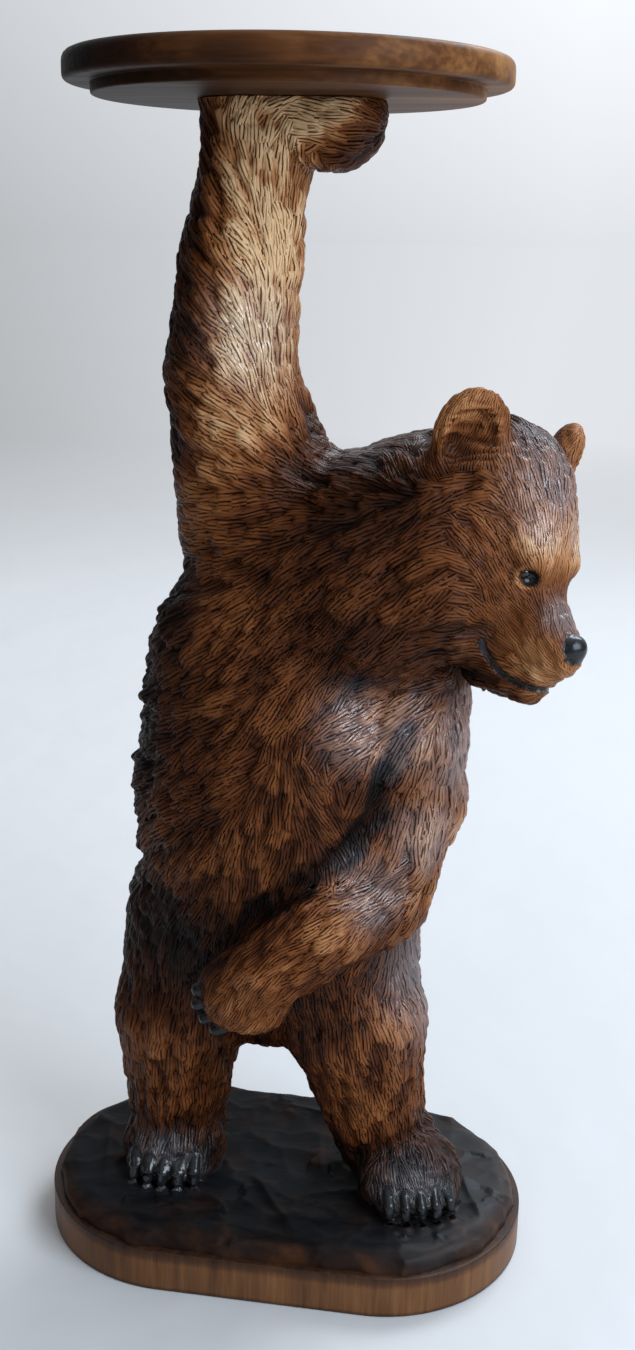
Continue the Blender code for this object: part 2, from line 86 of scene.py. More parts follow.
# The figure is drawn in millimetres, DRAWN_HEIGHT tall over a ground at DRAWN_GROUND
DRAWN_HEIGHT = 457.0
DRAWN_GROUND = 28.0
GROUND_TOP = PLINTH_BAND + GROUND_RISE
SCALE = (PALM_HEIGHT - GROUND_TOP) / DRAWN_HEIGHT
DRAWN_BAND = DRAWN_GROUND - GROUND_RISE / SCALE

# Half the plinth's depth, and how far its straight sides reach from the middle
HALF_DEPTH = PLINTH_DEPTH / 2 / SCALE
HALF_REACH = PLINTH_LENGTH / 2 / SCALE - HALF_DEPTH

# Meshing: the step of the rough mesh, and how far the ground is kept below the top of the band
VOXEL = 1.9
GROUND_FOOT = 3.0
# A form further off than the fillet's width and this leaves a point alone
MARGIN = 4


def drawn_to_row(points):
    """Points of the drawing, in millimetres, as points of the row frame, in metres."""
    moved = np.array(points, float) * SCALE
    moved[..., 2] += GROUND_TOP - DRAWN_GROUND * SCALE
    return moved


# Forms: each one gives its distance and gradient at points, and lists the balls it is roughly made of


def beside(points, start, end):
    """How far along a line each point is, from 0 to 1, and the way to the point from there."""
    along = end - start
    share = np.clip((points - start) @ along / (along @ along), 0, 1)
    return share, points - start - share[:, None] * along


def in_reach(form, points, limit):
    """Which of the points a form may be nearer to than the limit."""
    middle, reach = form.bound
    return np.linalg.norm(points - middle, axis=1) - reach < limit + MARGIN


def bound(balls):
    """A ball round all these balls: its centre and radius."""
    centres = np.array([ball.centre for ball in balls])
    middle = (centres.min(0) + centres.max(0)) / 2
    reach = max(np.linalg.norm(ball.centre - middle) + ball.radii.max() for ball in balls)
    return middle, reach


class Ball:
    """An ellipsoid with its own axes."""

    def __init__(self, centre, radii, axes=None):
        self.centre = np.array(centre, float)
        self.radii = np.array(radii, float)
        self.axes = np.eye(3) if axes is None else np.array(axes, float)
        self.bound = (self.centre, self.radii.max())

    def field(self, points):
        local = (points - self.centre) @ self.axes.T / self.radii
        near = np.linalg.norm(local, axis=1) + TINY
        slope = np.linalg.norm(local / self.radii, axis=1) + TINY
        gradient = (local / self.radii / slope[:, None]) @ self.axes
        return near * (near - 1) / slope, gradient

    def balls(self):
        return [self]


class Limb:
    """A tapered stretch with round ends."""

    def __init__(self, start, start_radius, end, end_radius):
        self.start = np.array(start, float)
        self.end = np.array(end, float)
        self.radii = (start_radius, end_radius)
        self.bound = bound(self.balls())

    def field(self, points):
        share, away = beside(points, self.start, self.end)
        far = np.linalg.norm(away, axis=1) + TINY
        radius = self.radii[0] + share * (self.radii[1] - self.radii[0])
        return far - radius, away / far[:, None]

    def balls(self):
        steps = max(2, int(np.linalg.norm(self.end - self.start) / min(self.radii) * 1.6))
        shares = np.linspace(0, 1, steps + 1)
        spread = self.radii[1] - self.radii[0]
        return [
            Ball(self.start + share * (self.end - self.start), (self.radii[0] + share * spread,) * 3)
            for share in shares
        ]


def chain(*stops):
    """Limbs from each stop, a place and a radius, to the next."""
    return [Limb(*stop, *following) for stop, following in zip(stops, stops[1:])]


class Blend:
    """Forms joined with a soft fillet of a given width."""

    def __init__(self, forms, width):
        self.forms = forms
        self.width = width
        self.bound = bound(self.balls())

    def field(self, points):
        distance, gradient = self.forms[0].field(points)
        for form in self.forms[1:]:
            close = in_reach(form, points, distance + self.width)
            if close.any():
                other, other_gradient = form.field(points[close])
                distance[close], gradient[close] = soft_union(
                    distance[close], gradient[close], other, other_gradient, self.width
                )
        return distance, gradient

    def balls(self):
        return [ball for form in self.forms for ball in form.balls()]


class Carve:
    """A form with others cut out of it, with a soft edge."""

    def __init__(self, form, cutters, width):
        self.form = form
        self.cutters = cutters
        self.width = width
        self.bound = form.bound

    def field(self, points):
        distance, gradient = self.form.field(points)
        for cutter in self.cutters:
            close = in_reach(cutter, points, np.maximum(-distance, 0) + self.width)
            if close.any():
                other, other_gradient = cutter.field(points[close])
                cut, cut_gradient = soft_union(
                    -distance[close], -gradient[close], other, other_gradient, self.width
                )
                distance[close], gradient[close] = -cut, -cut_gradient
        return distance, gradient

    def balls(self):
        return self.form.balls()


def soft_union(one, one_gradient, two, two_gradient, width):
    """Two fields joined with a fillet."""
    mix = np.clip(0.5 + 0.5 * (two - one) / width, 0, 1)
    distance = two * (1 - mix) + one * mix - width * mix * (1 - mix)
    gradient = two_gradient * (1 - mix)[:, None] + one_gradient * mix[:, None]
    return distance, gradient


class Pose:
    """A place and a direction on the figure: forward, side (the bear's right) and up."""

    def __init__(self, origin, yaw, pitch=0.0, tilt=0.0):
        turn, dip, lean = (math.radians(angle) for angle in (yaw, pitch, tilt))
        self.origin = np.array(origin, float)
        self.forward = np.array(
            [math.sin(turn) * math.cos(dip), -math.cos(turn) * math.cos(dip), math.sin(dip)]
        )
        level = np.array([-math.cos(turn), -math.sin(turn), 0.0])
        upright = np.cross(level, self.forward)
        self.side = math.cos(lean) * level + math.sin(lean) * upright
        self.up = np.cross(self.side, self.forward)
        self.axes = np.array([self.forward, self.side, self.up])

    def at(self, place):
        return self.origin + np.array(place, float) @ self.axes

    def ball(self, centre, radii):
        return Ball(self.at(centre), radii, self.axes)

    def limb(self, start, start_radius, end, end_radius):
        return Limb(self.at(start), start_radius, self.at(end), end_radius)


# The figure, in the same named forms as the solids

# Deep cuts between the arm and the body
FURROWS = [
    *chain(
        ((-22, -46, 157), 2), ((-4, -49, 175), 3.5), ((13, -49, 187), 4.2), ((33, -41, 202), 4.8),
        ((41, -36, 214), 4.5), ((44, -39, 234), 3.2), ((54, -36, 252), 2),
    ),
    *chain(((16, -45, 274), 1.5), ((34, -41, 268), 3), ((52, -36, 267), 4), ((72, -28, 271), 4)),
    *chain(((-47, -34, 170), 1.5), ((-30, -42, 146), 3)),
]
PAW_CLAWS = ((-22, -52, 143), (-22, -53, 137), (-19.5, -53, 131), (-15.5, -50, 124.5))
HEAD = Pose((104, -29.4, 313.4), yaw=43, pitch=-32, tilt=14)
EYE_PLACE = (0.0, 12.8, 0.0)
MOUTH_LINE = (
    (4.3, 17.6, -29.6), (6.1, 15.6, -32.2), (8.5, 13.9, -33.4), (12.6, 12.2, -34.6), (17.6, 10.1, -34.9),
    (21.8, 8.6, -33.8), (25.6, 7.5, -32), (28.8, 4.1, -30.2), (30.4, 0, -29),
)
NOSE_PLACE = (26.5, 0, -11.5)
NOSE_RADII = (5.5, 6.5, 6.5)


def torso():
    return Blend([
        Ball((-3, -2, 205), (60, 45, 112)),
        Ball((-6, 3, 150), (57, 42, 46)),
        Ball((0, 3, 264), (55, 43, 58)),
        Ball((2, 12, 312), (44, 34, 38)),
        Ball((24, -29, 232), (19, 14, 26)),
        Ball((-13, 10, 105), (19, 22, 17)),
        Limb((-4, 36, 132), 11, (-4, 44, 121), 8),
    ], 12)


def neck():
    throat = Limb((40, -14, 300), 36, (61, -20, 306), 29)
    return Blend([Limb((16, 4, 306), 43, (58, -3, 326), 37.5), throat], 8)


def raised_arm():
    return Blend([
        *chain(
            ((-12, 6, 325), 35), ((-26.5, 4, 382), 25), ((-22.5, 3, 425), 23), ((-16, 2, 462), 19.5),
            ((-14, 2, 492), 23),
        ),
        Limb((-8, 2, 484), 21, (15, -2, 479), 18.5),
        Limb((-12, 20, 366), 11, (-5, 18, 345), 16),
    ], 3)


def paw_claws():
    return Blend([Limb((x, y - 0.8, z), 3.1, (x - 5, y - 2.3, z - 2), 2.5) for x, y, z in PAW_CLAWS], 0.5)


def folded_arm():
    arm = Blend([
        Limb((49, -4, 262), 25, (53, -11, 215), 20.5),
        Ball((50, -19, 240), (22, 17, 25)),
        Limb((53, -11, 215), 20.5, (41, -19, 172), 19.5),
        Limb((41, -20, 172), 19.5, (18, -43, 165.5), 18.5),
        Limb((18, -43, 165.5), 18.5, (1, -51, 151), 16),
        Ball((-8, -51, 140), (19, 12.5, 18)),
    ], 4)
    return Blend([arm, paw_claws()], 1)


# How far the toes are to each side, and how much the outer ones stand back
TOE_SIDES = (-12.8, -6.4, 0, 6.4, 12.8)
TOE_CURVE = 0.02


def foot_claws(foot_yaw, foot):
    pose = Pose((*foot, DRAWN_GROUND), yaw=foot_yaw)
    claws = []
    for side in TOE_SIDES:
        back = TOE_CURVE * side**2
        claws += [
            pose.limb((25.4 - back, 1.03 * side, 12), 2.4, (30.6 - back, 1.06 * side, 7.6), 2.1),
            pose.limb((30.6 - back, 1.06 * side, 7.6), 2.1, (32.6 - back, 1.08 * side, 1.6), 1.6),
        ]
    return Blend(claws, 0.5)


def leg(hip, knee, ankle, foot_yaw, foot):
    pose = Pose((*foot, DRAWN_GROUND), yaw=foot_yaw)
    shank = Blend(chain(hip, knee, ankle), 4)
    toes = [
        pose.limb((8, side, 10), 8, (25.5 - TOE_CURVE * side**2, 1.05 * side, 5.5), 4.6)
        for side in TOE_SIDES
    ]
    instep = Blend([pose.limb((-14, 0, 13), 17, (6, 0, 11), 17), pose.ball((8, 0, 9), (18, 23, 15))], 8)
    instep = Blend([instep, Blend(toes, 1.5)], 3)
    return Blend([Blend([shank, instep], 4), foot_claws(foot_yaw, foot)], 1.5)


RIGHT_FOOT = (0, (-50, 0))
LEFT_FOOT = (20, (55.5, -6))


def legs():
    return Blend([
        leg(((-36, 6, 142), 37), ((-47, -6, 104), 27), ((-51, 2, 47), 20.5), *RIGHT_FOOT),
        leg(((22, 6, 142), 33), ((32, -8, 108), 29), ((43, 0, 47), 19), *LEFT_FOOT),
    ], 6)


EARS = (
    ((-51, 26, 25), (0.75, 0.6, 0.25), (-0.32, 0, 0.95), 17.5),
    ((-49, -28.5, 22.5), (0.52, -0.82, 0.1), (-0.3, -0.1, 0.95), 15.5),
)


def ear_axes(facing, rise):
    """The way an ear faces, the way across it and the way it rises, in the head's directions."""
    facing = np.array(facing, float) / np.linalg.norm(facing)
    rise = np.array(rise, float) - (np.array(rise) @ facing) * facing
    rise /= np.linalg.norm(rise)
    return np.array([facing, np.cross(rise, facing), rise])


def ear(place, facing, rise, height):
    """A cupped ear that faces one way and stands up another, both given in the head's directions."""
    axes = ear_axes(facing, rise)
    cup = Ball(HEAD.at(place), (6.5, 0.8 * height, height), axes @ HEAD.axes)
    middle = HEAD.at(place + axes.T @ (7, 0, -1))
    hollow = Ball(middle, (7.5, 0.58 * height, 0.74 * height), axes @ HEAD.axes)
    middle = HEAD.at(place + axes.T @ (3, 0.2 * height, -0.35 * height))
    deep = Ball(middle, (5, 0.26 * height, 0.3 * height), axes @ HEAD.axes)
    return Carve(cup, [hollow, deep], 2)


def mouth(width):
    """The groove between the lips, from each corner of the mouth to the front."""
    return [
        HEAD.limb((start[0], start[1] * side, start[2]), width, (end[0], end[1] * side, end[2]), width)
        for start, end in zip(MOUTH_LINE, MOUTH_LINE[1:])
        for side in (1, -1)
    ]


def eye_hollows():
    x, y, z = EYE_PLACE
    return [HEAD.ball((x + 1, y * side, z), (3.2, 3.8, 3.2)) for side in (1, -1)]


def nostrils():
    return [HEAD.limb((31.5, 2.6 * side, -12.5), 1.3, (30.5, 5.2 * side, -13.5), 1.0) for side in (1, -1)]


def head():
    skull = Blend([
        HEAD.ball((-44, 0, 3), (32, 31, 32)),
        HEAD.ball((-22, 0, 1), (21, 21, 22)),
        HEAD.ball((-26, 16, -17), (25, 17, 22)),
        HEAD.ball((-26, -16, -17), (25, 17, 22)),
        HEAD.ball((-9, 8, 3), (10, 8, 7)),
        HEAD.ball((-9, -8, 3), (10, 8, 7)),
        HEAD.limb((0, 0, -14), 14.5, (23, 0, -15.5), 9.5),
    ], 8)
    lip = HEAD.limb((0, 0, -27), 17, (20.5, 0, -22), 9.8)
    jaw = HEAD.limb((3, 0, -37), 15.3, (21, 0, -32.7), 8.7)
    nose = HEAD.ball(NOSE_PLACE, NOSE_RADII)
    ears = [ear(*sizes) for sizes in EARS]
    face = Blend([Blend([skull, Blend([lip, jaw], 5)], 3), nose], 0.8)
    return Carve(Blend([face, *ears], 4), [*mouth(1.1), *eye_hollows(), *nostrils()], 0.8)


class Ground:
    """The rough ground: a low mound inside the plinth's outline, which reaches every point."""

    bound = (np.zeros(3), 1e9)
    depth = 22
    top_fillet = 9
    foot_fillet = 2

    def field(self, points):
        radius = HALF_DEPTH - GROUND_INSET / SCALE
        nearest = points.copy()
        nearest[:, 0] = np.clip(points[:, 0], -HALF_REACH, HALF_REACH)
        nearest[:, 1:] = 0
        away = points - nearest
        away[:, 2] = 0
        outward = np.linalg.norm(away, axis=1) + TINY
        side = outward - radius
        top = points[:, 2] - DRAWN_GROUND
        up = np.zeros_like(points)
        up[:, 2] = 1
        distance, gradient = soft_union(-side, -away / outward[:, None], -top, -up, self.top_fillet)
        foot = points[:, 2] - DRAWN_GROUND + self.depth
        distance, gradient = soft_union(distance, gradient, foot, up, self.foot_fillet)
        return -distance, -gradient

    def balls(self):
        size = (HALF_DEPTH - 2, HALF_DEPTH - 2, 12)
        return [Ball((share * HALF_REACH, 0, DRAWN_GROUND - 12), size) for share in np.linspace(-1, 1, 13)]


def figure(parts):
    """The whole carving as one form."""
    body = Blend([parts["torso"], parts["raised_arm"]], 6)
    body = Blend([body, parts["legs"]], 8)
    body = Blend([body, parts["folded_arm"]], 3)
    body = Carve(body, FURROWS, 3)
    body = Blend([body, parts["head"]], 7)
    return Blend([body, parts["ground"]], 3)


def project(points, form, rounds):
    """Points moved onto the form's surface."""
    for _ in range(rounds):
        distance, gradient = form.field(points)
        steep = np.maximum((gradient**2).sum(1), 0.15)
        points = points - (distance / steep)[:, None] * gradient
    return points


# Meshes


def add_object(name, data):
    item = bpy.data.objects.new(name, data)
    bpy.context.scene.collection.objects.link(item)
    return item


def smooth_mesh(bm, name):
    """The drawn faces as a smooth mesh."""
    for face in bm.faces:
        face.smooth = True
    mesh = bpy.data.meshes.new(name)
    bm.to_mesh(mesh)
    bm.free()
    return mesh


def unit_ball():
    bm = bmesh.new()
    bmesh.ops.create_icosphere(bm, subdivisions=3, radius=1)
    points = np.array([vertex.co[:] for vertex in bm.verts])
    faces = np.array([[vertex.index for vertex in face.verts] for face in bm.faces])
    bm.free()
    return points, faces


def rough_mesh(form, voxel):
    """The form's balls run together by a voxel remesh: points, edges, and each face's corners and edges."""
    unit, faces = unit_ball()
    balls = form.balls()
    points = [(unit * ball.radii) @ ball.axes + ball.centre for ball in balls]
    sides = [faces + number * len(unit) for number in range(len(balls))]
    mesh = bpy.data.meshes.new("rough")
    mesh.from_pydata(np.concatenate(points), [], np.concatenate(sides))
    rough = add_object("rough", mesh)
    remesh = rough.modifiers.new("remesh", "REMESH")
    remesh.mode = "VOXEL"
    remesh.voxel_size = voxel
    evaluated = rough.evaluated_get(bpy.context.evaluated_depsgraph_get())
    solid = bpy.data.meshes.new_from_object(evaluated)
    bpy.data.objects.remove(rough)
    bpy.data.meshes.remove(mesh)
    points = read(solid.vertices, "co", 3, float)
    edges = read(solid.edges, "vertices", 2, int)
    corners = read(solid.loops, "vertex_index", 1, int).reshape(-1, 4)
    sides = read(solid.loops, "edge_index", 1, int).reshape(-1, 4)
    bpy.data.meshes.remove(solid)
    return points, edges, corners, sides


def gathered(places, values, count):
    """The sum of the values that go to each place."""
    return np.stack([np.bincount(places, column, count) for column in values.T], axis=1)


def relax(points, edges, form, rounds):
    """Evens out the mesh along the surface."""
    count = np.bincount(edges.ravel(), minlength=len(points)).astype(float)[:, None]
    for _ in range(rounds):
        total = gathered(edges[:, 0], points[edges[:, 1]], len(points))
        total += gathered(edges[:, 1], points[edges[:, 0]], len(points))
        points = project(0.5 * points + 0.5 * total / count, form, 1)
    return points


def refine(points, edges, quads, sides):
    """Each quad cut into four. Returns points, quads and each point's parent."""
    middles = points[edges].mean(1)
    centres = points[quads].mean(1)
    edge_start, centre_start = len(points), len(points) + len(edges)
    centre = centre_start + np.arange(len(quads))
    cut = edge_start + sides
    finer = [
        np.stack([quads[:, turn], cut[:, turn], centre, cut[:, turn - 1]], axis=1) for turn in range(4)
    ]
    parents = np.concatenate([np.arange(len(points)), edges[:, 0], quads[:, 0]])
    return np.concatenate([points, middles, centres]), np.stack(finer, 1).reshape(-1, 4), parents


# The carving


# Strokes that the fur lies along, with the depth in millimetres that the locks are cut to
BODY_STROKES = (
    ((10, -34, 325), (-16, -38, 285), 1.5), ((20, -44, 304), (-19, -40, 269), 1.4),
    ((9, -36, 318), (-38, -20, 295), 1.7), ((-21, -41, 259), (-56, -18, 239), 2.4),
    ((-4, -43, 263), (-34, -39, 234), 1.5), ((-6, -45, 234), (-46, -33, 208), 1.7),
    ((28, -42, 281), (11, -43, 256), 1.0), ((2, -45, 239), (-6, -47, 192), 1.2),
    ((12, -45, 236), (27, -43, 210), 1.3), ((-12, -46, 192), (-20, -48, 160), 1.0),
    ((-29, -42, 193), (-46, -36, 165), 1.3), ((58, -34, 262), (27, -44, 248), 1.4),
    ((59, -36, 258), (38, -44, 218), 1.6), ((65, -32, 247), (62, -34, 208), 1.6),
    ((-44, -16, 288), (-62, 8, 262), 4.5), ((-52, -10, 258), (-66, 14, 236), 5.0),
    ((-54, -12, 228), (-66, 12, 204), 5.0), ((-54, -14, 200), (-64, 10, 172), 3.5),
    ((50, 20, 300), (58, 15, 160), 2.4), ((-25, 48, 330), (-30, 48, 140), 3.0),
    ((20, 48, 330), (20, 48, 140), 2.6), ((14, -30, 345), (-45, -18, 375), 1.6),
    ((12, -35, 328), (-50, -20, 322), 1.8), ((10, -40, 312), (-48, -24, 272), 2.0),
    ((-20, -25, 390), (-50, -12, 425), 1.6), ((-14, -22, 430), (-44, -10, 468), 1.6),
    ((0, -18, 380), (-8, -22, 480), 1.3), ((2, 0, 385), (6, 0, 470), 1.3),
    ((-25, 30, 370), (-22, 26, 480), 2.4), ((-6, -20, 480), (26, -16, 474), 1.0),
    ((66, -38, 345), (20, -44, 305), 1.7), ((66, 10, 364), (14, 14, 350), 2.0),
    ((62, -48, 312), (20, -52, 275), 1.8), ((60, 20, 330), (20, 40, 290), 2.2),
    ((76, -8, 270), (70, -14, 180), 2.0), ((62, -30, 176), (36, -40, 150), 1.2),
    ((48, -36, 182), (2, -66, 156), 1.1), ((0, -64, 152), (-16, -60, 124), 0.6),
    ((-66, -12, 150), (-60, -26, 50), 1.7), ((-40, -30, 130), (-46, -28, 50), 1.5),
    ((-50, 36, 140), (-50, 24, 48), 2.2), ((22, -36, 140), (42, -26, 50), 1.4),
    ((62, -6, 140), (64, 0, 52), 1.8), ((30, 36, 140), (44, 20, 48), 2.2),
    ((-50, -6, 44), (-52, -34, 32), 0.4), ((50, -6, 44), (64, -38, 32), 0.4),
)
FACE_STROKES = (
    ((24, 0, -5), (-4, 0, 20), 0.3), ((-4, 0, 22), (-50, 0, 36), 0.8),
    ((22, 8, -18), (-4, 16, -14), 0.25), ((-4, 20, -8), (-50, 34, 2), 0.9),
    ((-6, 20, -28), (-40, 34, -34), 1.5), ((22, 6, -38), (-12, 14, -52), 1.2),
    ((-52, 26, 10), (-54, 28, 38), 0.3),
)


def fur_strokes():
    """The strokes of the body, and those of the face on both sides."""
    strokes = [*BODY_STROKES]
    for start, end, depth in FACE_STROKES:
        for side in (1, -1):
            sides = np.array([1, side, 1])
            strokes.append((HEAD.at(start * sides), HEAD.at(end * sides), depth))
    return strokes


# How softly one stroke passes into the next, and one tone into the next, in square millimetres
STROKE_BLUR = 36
TONE_BLUR = 110


def comb(points):
    """At each point, the way the fur lies and the depth it is cut to."""
    way = np.zeros_like(points)
    depth = np.zeros(len(points))
    total = np.zeros(len(points))
    for start, end, cut in fur_strokes():
        start, end = np.array(start, float), np.array(end, float)
        along = end - start
        _, away = beside(points, start, end)
        weight = 1 / (np.linalg.norm(away, axis=1) ** 2 + STROKE_BLUR) ** 2
        way += weight[:, None] * along / np.linalg.norm(along)
        depth += weight * cut
        total += weight
    return way, depth / total


def hashed(cells, salt):
    """A repeatable number from 0 to 1 for each cell of a lattice."""
    mixed = np.sin(cells @ np.array([12.9898, 78.233, 37.719]) + salt * 4.1414) * 43758.5453
    return mixed - np.floor(mixed)


def lock_seeds(form, low, high, spacing):
    """Where the locks sit: points spread over the form's surface, about one spacing apart."""
    sides = [np.arange(math.floor(a / spacing), math.ceil(b / spacing) + 1) for a, b in zip(low, high)]
    cells = np.stack(np.meshgrid(*sides, indexing="ij"), axis=-1).reshape(-1, 3).astype(float)
    shift = np.stack([hashed(cells, salt) for salt in range(3)], axis=1)
    points = (cells + 0.5 + 0.8 * (shift - 0.5)) * spacing
    distance, _ = form.field(points)
    points = project(points[np.abs(distance) < 0.55 * spacing], form, 5)
    distance, _ = form.field(points)
    return points[np.abs(distance) < 0.2]


def ground_share(points):
    """1 on the ground, 0 on the figure and a soft step between."""
    return np.clip((DRAWN_GROUND + 3 - points[:, 2]) / 2, 0, 1)


def small_depth(depth):
    """How deep the small locks are where the fur is cut to a depth."""
    return 0.4 + 0.65 * depth


# Layers of cuts: spacing, half length and half width in millimetres, and how far they turn, in radians
BROAD_LOCKS = (11, 11.5, 6, 0.5)
SMALL_LOCKS = (5.0, 7.6, 2.8, 0.4)
GOUGES = (19.0, 16, 10, 5.0)


class Locks:
    """A layer of overlapping leaf shapes that rise to their tips."""

    def __init__(self, form, box, spacing, length, width, jitter, even=False):
        self.length, self.width = length, width
        self.seeds = lock_seeds(form, *box, spacing)
        self.ways, self.depths = comb(self.seeds)
        self.sizes = np.ones(len(self.seeds)) if even else np.minimum(0.55 + 0.3 * self.depths, 1.15)
        self.turns = jitter * (hashed(np.round(self.seeds), 7) - 0.5)
        self.on_ground = ground_share(self.seeds)

    def nearest(self, points, neighbours):
        """The seeds nearest to each point."""
        tree = KDTree(len(self.seeds))
        for number, seed in enumerate(self.seeds):
            tree.insert(seed, number)
        tree.balance()
        found = [tree.find_n(point, neighbours) for point in points.tolist()]
        return np.array([[index for _, index, _ in hits] for hits in found])

    def local(self, points, normals, seed):
        """Places along and across the leaf of a seed, in millimetres."""
        way = self.ways[seed]
        way = way - (way * normals).sum(1)[:, None] * normals
        way /= np.linalg.norm(way, axis=1)[:, None] + TINY
        across = np.cross(normals, way)
        turn = self.turns[seed][:, None]
        way, across = way * np.cos(turn) + across * np.sin(turn), across * np.cos(turn) - way * np.sin(turn)
        offset = points - self.seeds[seed]
        return (offset * way).sum(1), (offset * across).sum(1)

    def heights(self, points, normals, nearest, depths):
        """How high each point stands, and the seed whose leaf it is on."""
        height = np.zeros(len(points))
        owner = nearest[:, 0].copy()
        for seed in nearest.T:
            along, aside = self.local(points, normals, seed)
            along = along / (self.length * self.sizes[seed])
            aside = aside / (self.width * self.sizes[seed])
            share = np.clip((along + 1) / 2, 0, 1)
            leaf = np.minimum(3 * share, 1) * (1 - share**14)
            rise = (0.25 + 0.75 * share) * (leaf - aside**2) * depths[seed]
            owner = np.where(rise > height, seed, owner)
            height = np.maximum(height, rise)
        return height, owner


EAR_RIDGE_SPACING = 3.3


def ear_ridges(points):
    """How far each point is inside the hollow of an ear, and the wave of the ridges cut across it."""
    inside = np.zeros(len(points))
    wave = np.zeros(len(points))
    for place, facing, rise, height in EARS:
        local = (points - HEAD.at(place)) @ (ear_axes(facing, rise) @ HEAD.axes).T
        off_middle = np.hypot(local[:, 1] / (0.64 * height), (local[:, 2] + 1) / (0.8 * height))
        within = np.clip((1.1 - off_middle) / 0.3, 0, 1) * (local[:, 0] > -2) * (local[:, 0] < 9)
        ripple = local[:, 2] + 0.4 * local[:, 1] + 0.9 * np.sin(0.45 * local[:, 1] + 0.7 * local[:, 2])
        share = ripple / EAR_RIDGE_SPACING - np.floor(ripple / EAR_RIDGE_SPACING)
        hole = np.linalg.norm(local - (3, 0.2 * height, -0.35 * height), axis=1)
        ridge = 2.4 * share * (1 - share**6) - 1 - 1.2 * np.clip(1.6 - hole / 5, 0, 1)
        wave = np.where(within > inside, ridge, wave)
        inside = np.maximum(inside, within)
    return inside, wave


# Where a ridge of the ground starts and ends, and its height, in millimetres
RIDGES = (
    ((-14, -12, 28), (13, -50, 28), 1.7),
    ((78, 8, 28), (92, -27, 28), 1.5),
    ((64, 30, 28), (80, 14, 28), 1.2),
    ((-88, 14, 28), (-76, -34, 28), 1.3),
    ((-20, 48, 28), (34, 36, 28), 1.5),
    ((-66, 40, 28), (-40, 52, 28), 1.2),
    ((18, -8, 28), (12, 26, 28), 1.0),
)


def ridges(points):
    """Long ridges that the gouge left standing on the ground, steep on one side."""
    rise = np.zeros(len(points))
    for start, end, height in RIDGES:
        start, end = np.array(start, float), np.array(end, float)
        along = end - start
        share = (points - start) @ along / (along @ along)
        side = (points[:, :2] - start[:2]) @ np.array([-along[1], along[0]]) / np.linalg.norm(along)
        slope = np.where(side > 0, np.exp(-side / 5), np.exp(side / 1.6))
        rise += height * slope * np.clip(1 - (2 * share - 1) ** 4, 0, 1)
    return rise


# Paint: how light the stain is at places on the figure, from 0, dark, to 1: the stain's own tone together
# with painted light on lit sides and painted shade on shaded sides and under the jaw

TONES = (
    (-12, -24, 400, 1.0), (-4, -18, 440, 0.97), (-20, -24, 370, 0.82), (-28, -20, 350, 0.62),
    (-44, -5, 400, 0.1), (-46, 0, 440, 0.1), (-40, 0, 470, 0.15), (-22, 28, 420, 0.35), (-20, 28, 460, 0.35),
    (2, 10, 420, 0.7), (10, -20, 478, 1.0), (25, -8, 466, 0.15), (-10, -20, 488, 0.95), (-50, -5, 360, 0.15),
    (-8, -21, 462, 0.85), (-35, -25, 330, 0.55), (-50, -10, 300, 0.05), (-20, -38, 300, 0.5),
    (-10, -42, 320, 0.4), (5, -30, 340, 0.3), (-15, -46, 260, 0.42), (0, -48, 230, 0.42),
    (20, -42, 250, 0.42), (-30, -40, 240, 0.24), (-60, -10, 240, 0.03), (-62, 0, 200, 0.05),
    (-50, -30, 200, 0.35), (-20, -48, 190, 0.45), (0, -50, 170, 0.45), (-53, -24, 165, 0.03),
    (-40, -34, 157, 0.0), (-20, -46, 157, 0.1), (-30, 42, 300, 0.18), (-44, -30, 182, 0.4), (0, 48, 250, 0.3),
    (0, 48, 180, 0.35), (50, 30, 250, 0.25), (-50, 30, 200, 0.25), (50, 10, 345, 0.1), (70, 15, 350, 0.15),
    (47, -35, 342, 0.12), (20, -32, 333, 0.08), (20, 0, 348, 0.25), (27, -42, 320, 0.2), (22, -45, 305, 0.38),
    (5, -36, 317, 0.3), (60, -48, 310, 0.38), (42, -50, 300, 0.42), (75, -52, 285, 0.25),
    (35, -48, 290, 0.12), (50, -49, 288, 0.2), (65, -49, 285, 0.3), (22, -41, 282, 0.3), (10, -40, 287, 0.3),
    (40, -36, 262, 0.6), (34, -42, 252, 0.62), (50, -38, 246, 0.68), (62, -30, 252, 0.62),
    (72, -15, 242, 0.45), (75, -8, 225, 0.5), (60, -34, 228, 0.5), (66, -28, 205, 0.75), (42, -42, 222, 0.2),
    (34, -45, 205, 0.3), (46, -38, 194, 0.55), (60, -30, 188, 0.6), (36, -52, 178, 0.66),
    (26, -58, 170, 0.68), (12, -62, 158, 0.62), (45, -38, 158, 0.35), (70, -20, 180, 0.6),
    (0, -62, 146, 0.68), (-8, -60, 130, 0.66), (5, -55, 168, 0.25), (20, -58, 150, 0.3), (-70, -5, 150, 0.05),
    (-62, -20, 142, 0.05), (-62, -20, 125, 0.25), (-64, -15, 100, 0.4), (-50, -34, 95, 0.56),
    (-50, -26, 65, 0.42), (-25, -20, 100, 0.2), (-50, -20, 48, 0.18), (-50, 30, 110, 0.3),
    (12, -37, 131, 0.1), (20, -35, 112, 0.2), (52, -20, 142, 0.25), (32, -38, 105, 0.5), (42, -26, 70, 0.55),
    (62, -5, 90, 0.45), (50, -28, 118, 0.55), (14, -10, 95, 0.2), (36, 30, 100, 0.3), (-50, -26, 34, 0.08),
    (58, -26, 34, 0.1), (-50, -10, 42, 0.08), (56, -12, 42, 0.1), (50, -26, 46, 0.1),
)
